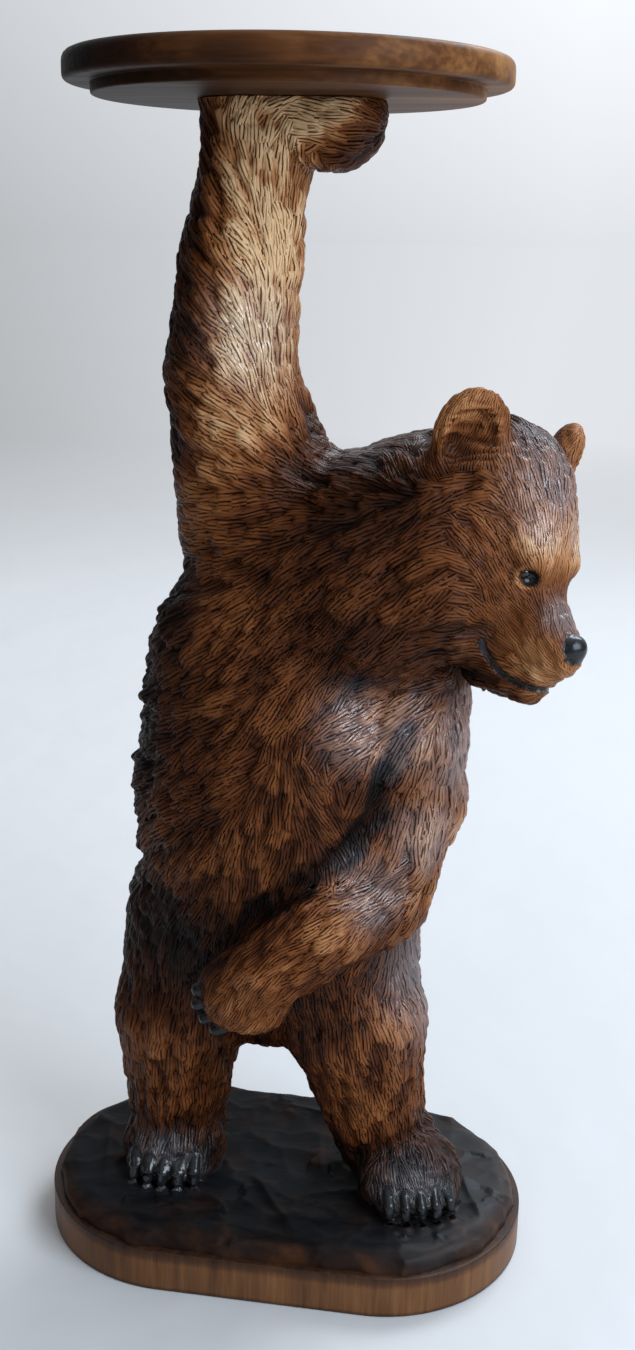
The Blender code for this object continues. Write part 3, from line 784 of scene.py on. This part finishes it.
# The same for the head, on both sides, also with painted light and shade
FACE_TONES = (
    (-50, 0, 36, 0.2), (-24, 0, 26, 0.5), (-6, 11, 12, 0.98), (-10, 9, 17, 0.7), (-14, 24, -12, 0.4),
    (14, 12, -20, 0.78), (22, 8, -20, 0.8), (14, 0, -4, 0.4), (4, 13, -9, 0.5), (-4, 16, -4, 0.5),
    (-38, 34, -8, 0.29), (10, 12, -44, 0.12), (-54, 34, 30, 0.9), (-50, 30, 36, 0.7), (-20, 30, -38, 0.22),
    (4, 20, -24, 0.4), (-20, 22, 12, 0.55), (-60, 24, 26, 0.2),
)
EYE_RIM_RADIUS = 4.2


def mirrored(rows):
    """Rows of a place on the head and a value, on both sides of it, as places on the figure."""
    return [(*HEAD.at((x, y * side, z)), value) for x, y, z, value in rows for side in (1, -1)]


def tones(points):
    """The stain's lightness at each point, with painted light and shade, painted shade in the furrows and a
    painted highlight on the eyes' lower rims.
    """
    total = np.zeros(len(points))
    light = np.zeros(len(points))
    for *place, tone in [*TONES, *mirrored(FACE_TONES)]:
        weight = 1 / (((points - place) ** 2).sum(1) + TONE_BLUR) ** 2
        light += weight * tone
        total += weight
    light /= total
    # A painted highlight on the lower side of each eye's rim
    for *eye, radius in mirrored([(*EYE_PLACE, EYE_RIM_RADIUS)]):
        local = (points - eye) @ HEAD.axes.T
        rim = np.exp(-(((np.linalg.norm(local, axis=1) - radius) / 0.7) ** 2))
        light += 0.32 * rim * np.clip(0.6 - 0.25 * (local[:, 0] + local[:, 2]), 0, 1)
    # Painted shade along the furrows between the arm and the body
    for furrow in FURROWS:
        distance, _ = furrow.field(points)
        light -= 0.4 * np.clip(1 - distance / 4, 0, 1) * np.clip(light * 3, 0, 1)
    return light


# Glossier places that also take a painted bluish sheen, and how far they reach, in millimetres
SHINE = (
    (34, -42, 253, 16), (52, -38, 250, 17), (74, -14, 240, 24), (62, -30, 205, 16), (42, -42, 186, 15),
    (66, -8, 132, 26), (60, -22, 34, 16), (-50, -28, 34, 15), (30, -2, 350, 14), (58, 0, 352, 16),
    (-10, -22, 400, 20),
)
FACE_SHINE = ((-24, 0, 26, 20), (-10, 9, 16, 9), (16, 0, -6, 9))


def shine(points):
    """Where the figure is glossier and takes a painted bluish sheen, from 0 to 1."""
    gloss_and_sheen = np.zeros(len(points))
    for *place, reach in [*SHINE, *mirrored(FACE_SHINE)]:
        gloss_and_sheen = np.maximum(gloss_and_sheen, np.exp(-(((points - place) ** 2).sum(1) / reach**2) ** 1.5))
    return gloss_and_sheen


def ink(points):
    """Where the carver painted nose, mouth, claws and the rims of the eyes black."""
    dark = np.zeros(len(points))
    claws = [paw_claws(), foot_claws(*RIGHT_FOOT), foot_claws(*LEFT_FOOT)]
    nose = HEAD.ball(NOSE_PLACE, np.array(NOSE_RADII) * 1.04)
    eyes = eye_hollows()
    for form, edge in [*((claw, 0.35) for claw in claws), (nose, 0.4), *((eye, 0.35) for eye in eyes)]:
        distance, _ = form.field(points)
        dark = np.maximum(dark, np.clip(1 - distance / edge, 0, 1))
    for line in mouth(1.0):
        distance, _ = line.field(points)
        dark = np.maximum(dark, np.clip(1.3 - distance / 0.6, 0, 1))
    return dark


# Materials

ROOM_COLOUR = (0.93, 0.96, 1.0, 1)
BLACK_STAIN = (0.009, 0.0097, 0.011, 1)
# The bluish tint of the painted sheen
PAINTED_SHEEN_TINT = (0.3, 0.33, 0.38, 1)


class Graph:
    """The nodes of a material or of the world, built one call at a time."""

    def __init__(self, owner, shader="Principled BSDF"):
        owner.use_nodes = True
        self.owner = owner
        self.tree = owner.node_tree
        self.shader = self.tree.nodes[shader]

    def add(self, kind, inputs=None, **settings):
        node = self.tree.nodes.new("ShaderNode" + kind)
        for name, value in settings.items():
            setattr(node, name, value)
        for name, value in (inputs or {}).items():
            self.put(node.inputs[name], value)
        return node

    def put(self, socket, value):
        if isinstance(value, bpy.types.NodeSocket):
            self.tree.links.new(value, socket)
        else:
            socket.default_value = value

    def place(self):
        """Object coordinates, in metres."""
        return self.add("TexCoord").outputs["Object"]

    def part(self, vector, axis):
        return self.add("SeparateXYZ", {"Vector": vector}).outputs[axis]

    def vector(self, operation, *values, output="Value"):
        return self.add("VectorMath", dict(enumerate(values)), operation=operation).outputs[output]

    def attribute(self, name, output="Fac"):
        return self.add("Attribute", attribute_name=name).outputs[output]

    def math(self, operation, *values, clamp=False):
        node = self.add("Math", operation=operation, use_clamp=clamp)
        for socket, value in zip(node.inputs, values):
            self.put(socket, value)
        return node.outputs[0]

    def plus(self, *values):
        return self.math("ADD", *values)

    def minus(self, *values):
        return self.math("SUBTRACT", *values)

    def times(self, *values):
        return self.math("MULTIPLY", *values)

    def noise(self, vector, scale, detail=2.0, roughness=0.5, distortion=0.0):
        inputs = {"Vector": vector, "Scale": scale, "Detail": detail}
        inputs.update(Roughness=roughness, Distortion=distortion)
        return self.add("TexNoise", inputs).outputs["Fac"]

    def stretched(self, scale, vector):
        """A vector scaled by axis."""
        return self.add("Mapping", {"Vector": vector, "Scale": scale}).outputs["Vector"]

    def ramp(self, value, stops):
        node = self.add("ValToRGB", {"Fac": value})
        stretch = node.color_ramp
        while len(stretch.elements) < len(stops):
            stretch.elements.new(0.5)
        for element, (place, colour) in zip(stretch.elements, stops):
            element.position = place
            element.color = (*colour, 1)
        return node.outputs["Color"]

    def mix(self, share, one, two):
        node = self.add("Mix", data_type="RGBA")
        self.put(node.inputs["Factor"], share)
        self.put(node.inputs[6], one)
        self.put(node.inputs[7], two)
        return node.outputs[2]

    def range(self, value, low, high, to_low=0.0, to_high=1.0):
        inputs = {"Value": value, "From Min": low, "From Max": high, "To Min": to_low, "To Max": to_high}
        return self.add("MapRange", inputs).outputs[0]

    def bump(self, height, distance):
        node = self.add("Bump", {"Height": height, "Distance": distance, "Strength": 1.0})
        return node.outputs["Normal"]

    def surface(self, **inputs):
        for name, value in inputs.items():
            self.put(self.shader.inputs[name.replace("_", " ")], value)
        return self.owner

    def coat(self, colour, rough, gloss, height, depth):
        """The surface, with the finest strokes so deep, in metres."""
        normal = self.bump(height, depth)
        return self.surface(Base_Color=colour, Roughness=rough, Specular_IOR_Level=gloss, Normal=normal)


def fur_wood():
    """Stained wood cut in fine strokes along the fur, dark in the grooves from stain and painted shade, worn
    light on the crests, with a painted bluish sheen where it is glossier.
    """
    g = Graph(bpy.data.materials.new("carved_fur"))
    lie = g.attribute("lie", "Vector")
    bend = g.noise(g.stretched((0.5, 0.16, 40.0), lie), 1.0, 0.0)
    aside = g.math("MULTIPLY_ADD", bend, 1.6, g.part(lie, "Y"))
    groove = g.math("ABSOLUTE", g.minus(g.math("FRACT", aside), 0.5))
    groove = g.range(groove, 0.5, 0.2)
    fade = g.range(g.noise(g.stretched((0.8, 0.9, 40.0), lie), 1.0, 1.0), 0.35, 0.6, 0.95, 0.25)
    valley = g.math("MULTIPLY_ADD", g.minus(groove, 1.0), fade, 1.0)
    fine = g.noise(g.stretched((1.6, 4.2, 60.0), lie), 1.0, 1.0, 0.5)
    cut = g.plus(g.times(valley, 0.8), g.times(fine, 0.2))
    cut = g.math("MULTIPLY_ADD", g.minus(cut, 0.7), g.attribute("relief"), 0.7)
    blotches = g.noise(g.place(), 38.0, 3.0, 0.6)
    tone = g.attribute("tone")
    crest = g.attribute("crest")
    light = g.plus(tone, g.range(blotches, 0.3, 0.7, -0.05, 0.05))
    # Darker at the foot of each lock and in the grooves: stain that gathers there, and painted shade
    light = g.plus(light, g.range(crest, 0.1, 0.75, -0.2, 0.1))
    light = g.plus(light, g.range(cut, 0.15, 0.8, -0.4, 0.1))
    colour = g.ramp(
        light,
        [
            (0.0, (0.004, 0.0016, 0.001)),
            (0.2, (0.015, 0.0045, 0.0018)),
            (0.45, (0.071, 0.0192, 0.005)),
            (0.68, (0.195, 0.064, 0.018)),
            (0.85, (0.385, 0.172, 0.068)),
            (1.0, (0.62, 0.4, 0.21)),
        ],
    )
    black = g.attribute("ink")
    gloss_and_sheen = g.attribute("shine")
    # A painted bluish sheen mixed into the stain where the figure is glossier
    wear_and_sheen = g.times(gloss_and_sheen, g.range(cut, 0.3, 0.9, 0.02, 0.17))
    colour = g.mix(wear_and_sheen, colour, PAINTED_SHEEN_TINT)
    colour = g.mix(black, colour, BLACK_STAIN)
    gloss = g.times(g.range(gloss_and_sheen, 0, 1, 0.1, 1.0), g.range(black, 0, 1, 1.0, 0.25))
    gloss = g.math("MULTIPLY_ADD", black, 0.28, gloss)
    rough = g.range(cut, 0.1, 0.85, 0.62, 0.36)
    rough = g.minus(rough, g.times(gloss_and_sheen, 0.08))
    rough = g.minus(rough, g.times(black, 0.16))
    height = g.times(cut, g.minus(1.0, black))
    return g.coat(colour, rough, gloss, height, 0.0012)


def ground_wood():
    """The ground's near black stain, rubbed brown on the edges of the gouge cuts."""
    g = Graph(bpy.data.materials.new("gouged_ground"))
    place = g.place()
    crest = g.attribute("crest")
    rim = g.attribute("tone")
    wear_and_sheen = g.noise(place, 45.0, 4.0, 0.65)
    marks = g.noise(g.stretched((60.0, 160.0, 60.0), place), 1.0, 3.0, 0.6, 0.4)
    share = g.plus(g.range(wear_and_sheen, 0.5, 0.8, 0.0, 0.5), g.range(crest, 0.0, 0.25, 0.35, 0.0))
    share = g.plus(share, g.times(rim, g.range(wear_and_sheen, 0.35, 0.6, 0.25, 1.0)))
    share = g.math("MULTIPLY", share, 0.85, clamp=True)
    black = g.ramp(marks, [(0.3, (0.004, 0.0045, 0.0055)), (0.7, (0.011, 0.011, 0.012))])
    brown = g.ramp(marks, [(0.3, (0.022, 0.009, 0.005)), (0.7, (0.07, 0.028, 0.012))])
    colour = g.mix(share, black, brown)
    rough = g.range(marks, 0.3, 0.7, 0.42, 0.56)
    gloss = g.range(g.part(place, "X"), 0.03, 0.1, 0.03, 0.22)
    return g.coat(colour, rough, gloss, marks, 0.0003)


def band_wood():
    """The plinth's sawn edge: upright grain in a mid reddish brown."""
    g = Graph(bpy.data.materials.new("sawn_band"))
    place = g.place()
    grain = g.noise(g.stretched((420.0, 420.0, 26.0), place), 1.0, 3.0, 0.65, 0.3)
    wide = g.noise(g.stretched((60.0, 60.0, 9.0), place), 1.0, 3.0, 0.55)
    height = g.part(place, "Z")
    top = g.range(height, PLINTH_BAND * 0.72, PLINTH_BAND, 0.0, -0.28)
    foot = g.range(height, 0.0, 0.0025, -0.25, 0.0)
    light = g.plus(g.times(grain, 0.35), g.times(wide, 0.25))
    light = g.plus(g.plus(light, top), g.plus(foot, 0.2))
    colour = g.ramp(
        light,
        [
            (0.15, (0.018, 0.008, 0.005)),
            (0.38, (0.07, 0.028, 0.011)),
            (0.52, (0.15, 0.062, 0.022)),
            (0.7, (0.25, 0.12, 0.045)),
        ],
    )
    rough = g.range(grain, 0.3, 0.7, 0.34, 0.5)
    return g.coat(colour, rough, 0.2, grain, 0.0002)


def top_wood():
    """The turned top: dark brown with long amber streaks, painted lighter to the right where the light falls,
    and a dull gloss.
    """
    g = Graph(bpy.data.materials.new("turned_top_wood"))
    place = g.place()
    grain = g.noise(g.stretched((14.0, 420.0, 420.0), place), 1.0, 2.0, 0.5, 0.2)
    streaks = g.noise(g.stretched((6.0, 45.0, 60.0), place), 1.0, 2.0, 0.5, 0.2)
    light = g.math("MULTIPLY_ADD", grain, 0.22, g.math("MULTIPLY_ADD", streaks, 0.42, 0.19))
    # Painted light: lighter to the right and darker to the left
    light = g.plus(light, g.range(g.part(place, "X"), -0.1, 0.07, -0.2, 0.16))
    colour = g.ramp(
        light,
        [
            (0.3, (0.008, 0.004, 0.003)),
            (0.48, (0.032, 0.012, 0.005)),
            (0.6, (0.09, 0.032, 0.01)),
            (0.78, (0.26, 0.115, 0.035)),
        ],
    )
    rough = g.range(grain, 0.3, 0.7, 0.4, 0.52)
    return g.coat(colour, rough, 0.07, grain, 0.00012)


def eye_glass():
    g = Graph(bpy.data.materials.new("eye_bead"))
    swirl = g.noise(g.place(), 900.0, 1.0)
    colour = g.ramp(swirl, [(0.35, (0.002, 0.002, 0.002)), (0.75, (0.012, 0.007, 0.004))])
    return g.surface(Base_Color=colour, Roughness=0.05, IOR=1.52)


# The way the room is brightest, and the way across the floor from its dark side
BRIGHT_WAY = (-0.087, 0.55, 0.78)
ACROSS_WAY = (0.934, 0.358, 0)


def room_light(g, way):
    """How bright the room is each way: bright above and behind the bear, dark at the left."""
    rise = g.vector("DOT_PRODUCT", way, BRIGHT_WAY)
    lean = [(0.1, (0.35,) * 3), (0.32, (0.72,) * 3), (0.5, (1.1,) * 3)]
    lean = g.ramp(g.range(g.part(way, "X"), -1, 1), lean)
    return g.times(g.range(rise, 0.235, 0.72, 0.2, 1.05), lean)


def floor_paper():
    """Pale paper, painted lighter far off and darker to the left near the bear, that far off glows as bright
    as the room, to hide the horizon from the camera's side.
    """
    g = Graph(bpy.data.materials.new("pale_paper"))
    place = g.place()
    shade = g.times(g.noise(place, 1.3, 4.0, 0.5), 0.1)
    distance = g.vector("LENGTH", place)
    # Painted light: the paper is lighter further away
    away = g.times(distance, 0.42)
    colour = g.ramp(g.plus(shade, away), [(0.05, (0.55, 0.55, 0.55)), (1.0, (0.84, 0.84, 0.84))])
    across = g.vector("DOT_PRODUCT", place, ACROSS_WAY)
    near = g.range(distance, 2.8, 1.3)
    # Painted shade: near the bear the paper is darker to the left; far off it is black under its glow
    dim = g.times(g.range(across, -1.1, -0.2, 0.3, 1.0), near)
    colour = g.mix(dim, (0, 0, 0, 1), colour)
    way = g.vector("NORMALIZE", place, output="Vector")
    # Painted light: far off the paper glows as bright as the room, though it is no lamp
    glow = g.times(room_light(g, way), g.minus(1.0, near))
    crinkle = g.noise(place, 9.0, 3.0, 0.5)
    g.surface(Emission_Color=ROOM_COLOUR, Emission_Strength=glow)
    return g.coat(colour, 0.9, 0.0, crinkle, 0.004)


# Pieces


def add_mesh(name, mesh, material, slot, *nodes):
    """A piece of the part that takes the place of these nodes."""
    piece = add_object(name, mesh)
    mesh.materials.clear()
    mesh.materials.append(material)
    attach(piece, "root")
    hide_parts(*nodes)


def close_loops(quads, points):
    """Triangles that close the open rims of a patch, and the points at their middles."""
    edges = np.concatenate([np.stack([quads[:, turn], quads[:, turn - 3]], axis=1) for turn in range(4)])
    known = {tuple(edge) for edge in edges.tolist()}
    following = {}
    for one, two in known:
        if (two, one) not in known:
            following.setdefault(two, []).append(one)
    caps, middles = [], []
    while following:
        start = next(iter(following))
        rim, here = [], start
        while here in following:
            rim.append(here)
            nexts = following[here]
            after = nexts.pop()
            if not nexts:
                del following[here]
            here = after
        if len(rim) > 2:
            middle = len(points) + len(middles)
            middles.append(points[rim].mean(0))
            caps += [(one, two, middle) for one, two in zip(rim, rim[1:] + rim[:1])]
    return caps, middles


def add_patch(name, points, normals, quads, layers, lie, material):
    """A region of the carved surface as a closed piece of its own."""
    used, local = np.unique(quads, return_inverse=True)
    local = local.reshape(-1, 4)
    points, normals = points[used], normals[used]
    caps, middles = close_loops(local, points)
    if middles:
        points = np.concatenate([points, middles])
        normals = np.concatenate([normals, np.tile((0.0, 0.0, 1.0), (len(middles), 1))])
    mesh = bpy.data.meshes.new(name)
    mesh.from_pydata(points, [], local.tolist() + caps)
    for layer, values in layers.items():
        padded = np.concatenate([values[used], np.zeros(len(middles))])
        mesh.attributes.new(layer, "FLOAT", "POINT").data.foreach_set("value", padded)
    corners = np.concatenate([lie.reshape(-1, 3), np.zeros((3 * len(caps), 3))])
    mesh.attributes.new("lie", "FLOAT_VECTOR", "CORNER").data.foreach_set("vector", corners.ravel())
    mesh.polygons.foreach_set("use_smooth", np.ones(len(mesh.polygons), bool))
    mesh.update()
    mesh.normals_split_custom_set_from_vertices(normals)
    add_mesh(name, mesh, material, BLOCK_SLOT, BLOCK)


# Added to an area before something is divided by it
TINY_AREA = 1e-12
# The strokes within a lock, and the worn rim of the ground, in millimetres
STROKE_LENGTH = 7
STROKE_WIDTH = 1.45
RIM_WIDTH = 9
# How far the mouth and the eyes keep the fur low
CALM_REACH = 5


def vertex_normals(points, quads):
    across = np.cross(points[quads[:, 2]] - points[quads[:, 0]], points[quads[:, 3]] - points[quads[:, 1]])
    total = sum(gathered(quads[:, corner], across, len(points)) for corner in range(4))
    return total / (np.linalg.norm(total, axis=1)[:, None] + TINY_AREA)


def fur_lie(points, normals, quads, layer, owner):
    """At each corner of the quads, the place along and across the lock, and a number of the lock's own."""
    first = quads[:, 0]
    seed = owner[first]
    lie = np.zeros((len(quads), 4, 3))
    for corner in range(4):
        along, aside = layer.local(points[quads[:, corner]], normals[first], seed)
        lie[:, corner, 0] = along / STROKE_LENGTH / layer.sizes[seed]
        lie[:, corner, 1] = aside / STROKE_WIDTH / layer.sizes[seed]
    lie[:, :, 2] = hashed(layer.seeds[seed], 3)[:, None]
    return lie


def rim_share(points):
    """How near each point is to the outline of the ground, from 0 to 1 at the rim."""
    past_reach = np.maximum(np.abs(points[:, 0]) - HALF_REACH, 0)
    return np.clip(1.1 - (HALF_DEPTH - np.hypot(points[:, 1], past_reach)) / RIM_WIDTH, 0, 1)


def add_figure():
    parts = {
        "torso": Blend([torso(), neck()], 10),
        "raised_arm": raised_arm(),
        "legs": legs(),
        "folded_arm": folded_arm(),
        "head": head(),
        "ground": Ground(),
    }
    form = figure(parts)
    coarse, edges, quads, sides = rough_mesh(form, VOXEL)
    coarse = relax(project(coarse, form, 5), edges, form, 4)
    middles = coarse[quads].mean(1)
    region = np.stack([part.field(middles)[0] for part in parts.values()]).argmin(0)
    keep = middles[:, 2] > DRAWN_BAND - GROUND_FOOT
    points, parents = coarse, np.arange(len(coarse))
    points, quads, parents = refine(coarse, edges, quads, sides)
    region, keep = np.repeat(region, 4), np.repeat(keep, 4)
    points = project(points, form, 1)
    _, normals = form.field(points)
    normals /= np.linalg.norm(normals, axis=1)[:, None]
    box = (points.min(0), points.max(0))
    broad = Locks(form, box, *BROAD_LOCKS)
    small = Locks(form, box, *SMALL_LOCKS)
    gouges = Locks(form, box, *GOUGES, even=True)
    broad_near = broad.nearest(coarse, 8)[parents]
    small_near = small.nearest(coarse, 9)[parents]
    gouges_near = gouges.nearest(coarse, 8)[parents]
    _, depth_here = comb(points)
    on_ground = ground_share(points)
    black = ink(points)
    in_ear, ripple = ear_ridges(points)
    calm = np.minimum.reduce([line.field(points)[0] for line in [*mouth(0.9), *eye_hollows()]])
    calm = np.clip(calm / CALM_REACH, 0.05, 1)
    fur = calm * (1 - np.maximum.reduce([on_ground, np.clip(black * 1.2, 0, 1), 0.85 * in_ear]))
    broad_height, bundle = broad.heights(points, normals, broad_near, broad.depths * (1 - broad.on_ground))
    small_height, owner = small.heights(points, normals, small_near, small_depth(small.depths))
    scoops, _ = gouges.heights(points, normals, gouges_near, gouges.on_ground)
    lift = (1.5 * broad_height - 0.5 * depth_here) * calm
    lift += (1.7 * small_height - 0.3 - 0.45 * depth_here) * fur
    lift = lift * (1 - on_ground) + on_ground * (ridges(points) - 2.3 * scoops + 0.5)
    lift = lift * (1 - in_ear) + 0.95 * in_ear * ripple
    carved = points + normals * lift[:, None]
    crest = 0.5 * np.clip(broad_height / depth_here, 0, 1)
    crest += 0.5 * np.clip(small_height / small_depth(depth_here), 0, 1)
    crest += 0.18 * (hashed(broad.seeds[bundle], 11) - 0.5) + 0.22 * (hashed(small.seeds[owner], 12) - 0.5)
    crest = 0.6 + (crest - 0.6) * np.clip(depth_here / 1.2, 0, 1)
    # In the ears the crest follows the ridges and sinks in the deep hollow, which gives the hollow painted
    # shade
    crest = crest * (1 - in_ear) + in_ear * (0.5 + 0.5 * ripple)
    layers = {
        "tone": np.where(on_ground > 0.5, rim_share(points), tones(points)),
        "crest": np.where(on_ground > 0.5, scoops, crest),
        "ink": black,
        "shine": shine(points),
        "relief": np.clip(0.2 + 0.75 * depth_here, 0.35, 1),
    }
    lie = fur_lie(points, normals, quads, small, owner)
    row = drawn_to_row(carved)
    row[:, 2] = np.minimum(row[:, 2], PALM_HEIGHT)
    facing = vertex_normals(row, quads)
    fur_material, ground_material = fur_wood(), ground_wood()
    for number, name in enumerate(parts):
        chosen = (region == number) & keep
        material = ground_material if name == "ground" else fur_material
        add_patch("carved_" + name, row, facing, quads[chosen], layers, lie[chosen], material)


# Radii of the turned pieces' edges, in metres, and the steps that they are drawn in
TOP_EDGES = (0.0042, 0.0026, 0.0006, 0.0009)
BAND_EDGES = (0.0012, 0.0010)
ROUND_STEPS = 5
TOP_STEPS = 192
BAND_STEPS = 160


def lathe(name, profile, steps):
    """A profile of (radius, height) turned round the Z axis, closed at both ends."""
    bm = bmesh.new()
    corners = [bm.verts.new((radius, 0, height)) for radius, height in profile]
    edges = [bm.edges.new(pair) for pair in zip(corners, corners[1:])]
    whole = {"cent": (0, 0, 0), "axis": (0, 0, 1), "angle": 2 * math.pi, "use_merge": True}
    bmesh.ops.spin(bm, geom=corners + edges, steps=steps, **whole)
    bmesh.ops.remove_doubles(bm, verts=bm.verts, dist=1e-6)
    bmesh.ops.recalc_face_normals(bm, faces=bm.faces)
    return smooth_mesh(bm, name)


def rounded(profile, radii):
    """A profile with its corners rounded by the given radii."""
    result = [profile[0]]
    for before, corner, after, radius in zip(profile, profile[1:], profile[2:], radii):
        corner = np.array(corner, float)
        to_before, to_after = np.array(before) - corner, np.array(after) - corner
        to_before /= np.linalg.norm(to_before)
        to_after /= np.linalg.norm(to_after)
        for share in np.linspace(0, 1, ROUND_STEPS + 1):
            pull = to_before * (1 - share) ** 2 + to_after * share**2
            result.append(tuple(corner + radius * pull))
    result.append(profile[-1])
    return result


def add_top():
    """The turned board, with the step that its solid has."""
    points = node_points("round_top")
    low, high = points[:, 2].min(), points[:, 2].max()
    middle_x = (points[:, 0].min() + points[:, 0].max()) / 2
    radius = (points[:, 1].max() - points[:, 1].min()) / 2
    from_middle = np.hypot(points[:, 0] - middle_x, points[:, 1])
    foot = from_middle[points[:, 2] < low + NEAR].max()
    middle = points[(np.abs(from_middle - foot) < 20 * NEAR) & (points[:, 2] > low + 10 * NEAR)][:, 2].min()
    profile = [(0, high), (radius, high), (radius, middle), (foot, middle), (foot, low), (0, low)]
    mesh = lathe("turned_top", rounded(profile, TOP_EDGES), TOP_STEPS)
    mesh.transform(Matrix.Translation((middle_x, 0, 0)))
    add_mesh("turned_top", mesh, top_wood(), TOP_SLOT, "round_top")


def add_band():
    """The plinth's plate with half round ends and softened edges."""
    radius = PLINTH_DEPTH / 2
    reach = PLINTH_LENGTH / 2 - radius
    profile = rounded([(0, 0), (radius, 0), (radius, PLINTH_BAND), (0, PLINTH_BAND)], BAND_EDGES)
    mesh = lathe("sawn_band", profile, BAND_STEPS)
    points = read(mesh.vertices, "co", 3, float)
    points[:, 0] += reach * np.sign(np.round(points[:, 0], 6))
    mesh.vertices.foreach_set("co", points.ravel())
    mesh.update()
    add_mesh("plinth_band", mesh, band_wood(), BLOCK_SLOT, BLOCK)


def add_eyes():
    material = eye_glass()
    for name in ("right_eye", "left_eye"):
        low, high = (np.array(corner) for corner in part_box(name))
        centre, radius = (low + high) / 2, (high - low).max() / 2
        bm = bmesh.new()
        bmesh.ops.create_uvsphere(bm, u_segments=40, v_segments=28, radius=radius)
        bmesh.ops.translate(bm, vec=Vector(centre), verts=bm.verts)
        add_mesh(name + "_bead", smooth_mesh(bm, name + "_bead"), material, EYE_SLOT, name)


# Stage

# Half the floor's width, in metres
FLOOR_REACH = 60

# Each light's name, place, target, width in metres, power in watts and colour
LIGHTS = (
    ("window", (1.15, -0.75, 0.95), (0, 0, 0.3), 1.0, 28, (0.74, 0.86, 1.0)),
    ("ceiling", (0.6, 0.9, 1.5), (0, 0, 0.3), 0.8, 20, (0.82, 0.9, 1.0)),
    ("room", (-0.4, -1.5, 0.9), (0, 0, 0.25), 0.8, 1.5, (1.0, 0.93, 0.84)),
)

# The photograph's camera, as fitted to the outlines of the top and the plinth
CAMERA_PLACE = (0.104379, -0.590066, 0.438195)
CAMERA_AZIMUTH = math.radians(8.979)
CAMERA_PITCH = -0.28765
CAMERA_ROLL = 0.01739
SENSOR = 36
FOCAL_LENGTH = SENSOR * 1499.5 / 1350


def add_floor():
    bm = bmesh.new()
    bmesh.ops.create_grid(bm, x_segments=8, y_segments=8, size=FLOOR_REACH)
    mesh = smooth_mesh(bm, "floor")
    mesh.materials.append(floor_paper())
    floor = add_object("floor", mesh)


def add_light(name, place, target, size, power, colour):
    data = bpy.data.lights.new(name, "AREA")
    data.size = size
    data.energy = power
    data.color = colour
    light = add_object(name, data)
    light.location = place
    light.rotation_mode = "QUATERNION"
    light.rotation_quaternion = (Vector(target) - Vector(place)).to_track_quat("-Z", "Y")


def add_world():
    world = bpy.data.worlds.new("studio")
    bpy.context.scene.world = world
    g = Graph(world, "Background")
    way = g.add("TexCoord").outputs["Generated"]
    g.surface(Color=ROOM_COLOUR, Strength=room_light(g, way))


def add_camera():
    level = Vector((math.cos(CAMERA_AZIMUTH), math.sin(CAMERA_AZIMUTH), 0))
    ahead = Vector((-math.sin(CAMERA_AZIMUTH), math.cos(CAMERA_AZIMUTH), 0))
    forward = math.cos(CAMERA_PITCH) * ahead + Vector((0, 0, math.sin(CAMERA_PITCH)))
    upright = level.cross(forward)
    right = math.cos(CAMERA_ROLL) * level + math.sin(CAMERA_ROLL) * upright
    up = -math.sin(CAMERA_ROLL) * level + math.cos(CAMERA_ROLL) * upright
    data = bpy.data.cameras.new("camera")
    data.sensor_width = SENSOR
    data.lens = FOCAL_LENGTH
    camera = add_object("camera", data)
    turn = Matrix((right, up, -forward)).transposed().to_4x4()
    camera.matrix_world = Matrix.Translation(CAMERA_PLACE) @ turn
    bpy.context.scene.camera = camera


add_camera()
add_floor()
add_world()
for light in LIGHTS:
    add_light(*light)
bpy.context.scene.view_settings.view_transform = "Standard"
add_figure()
add_top()
add_band()
add_eyes()
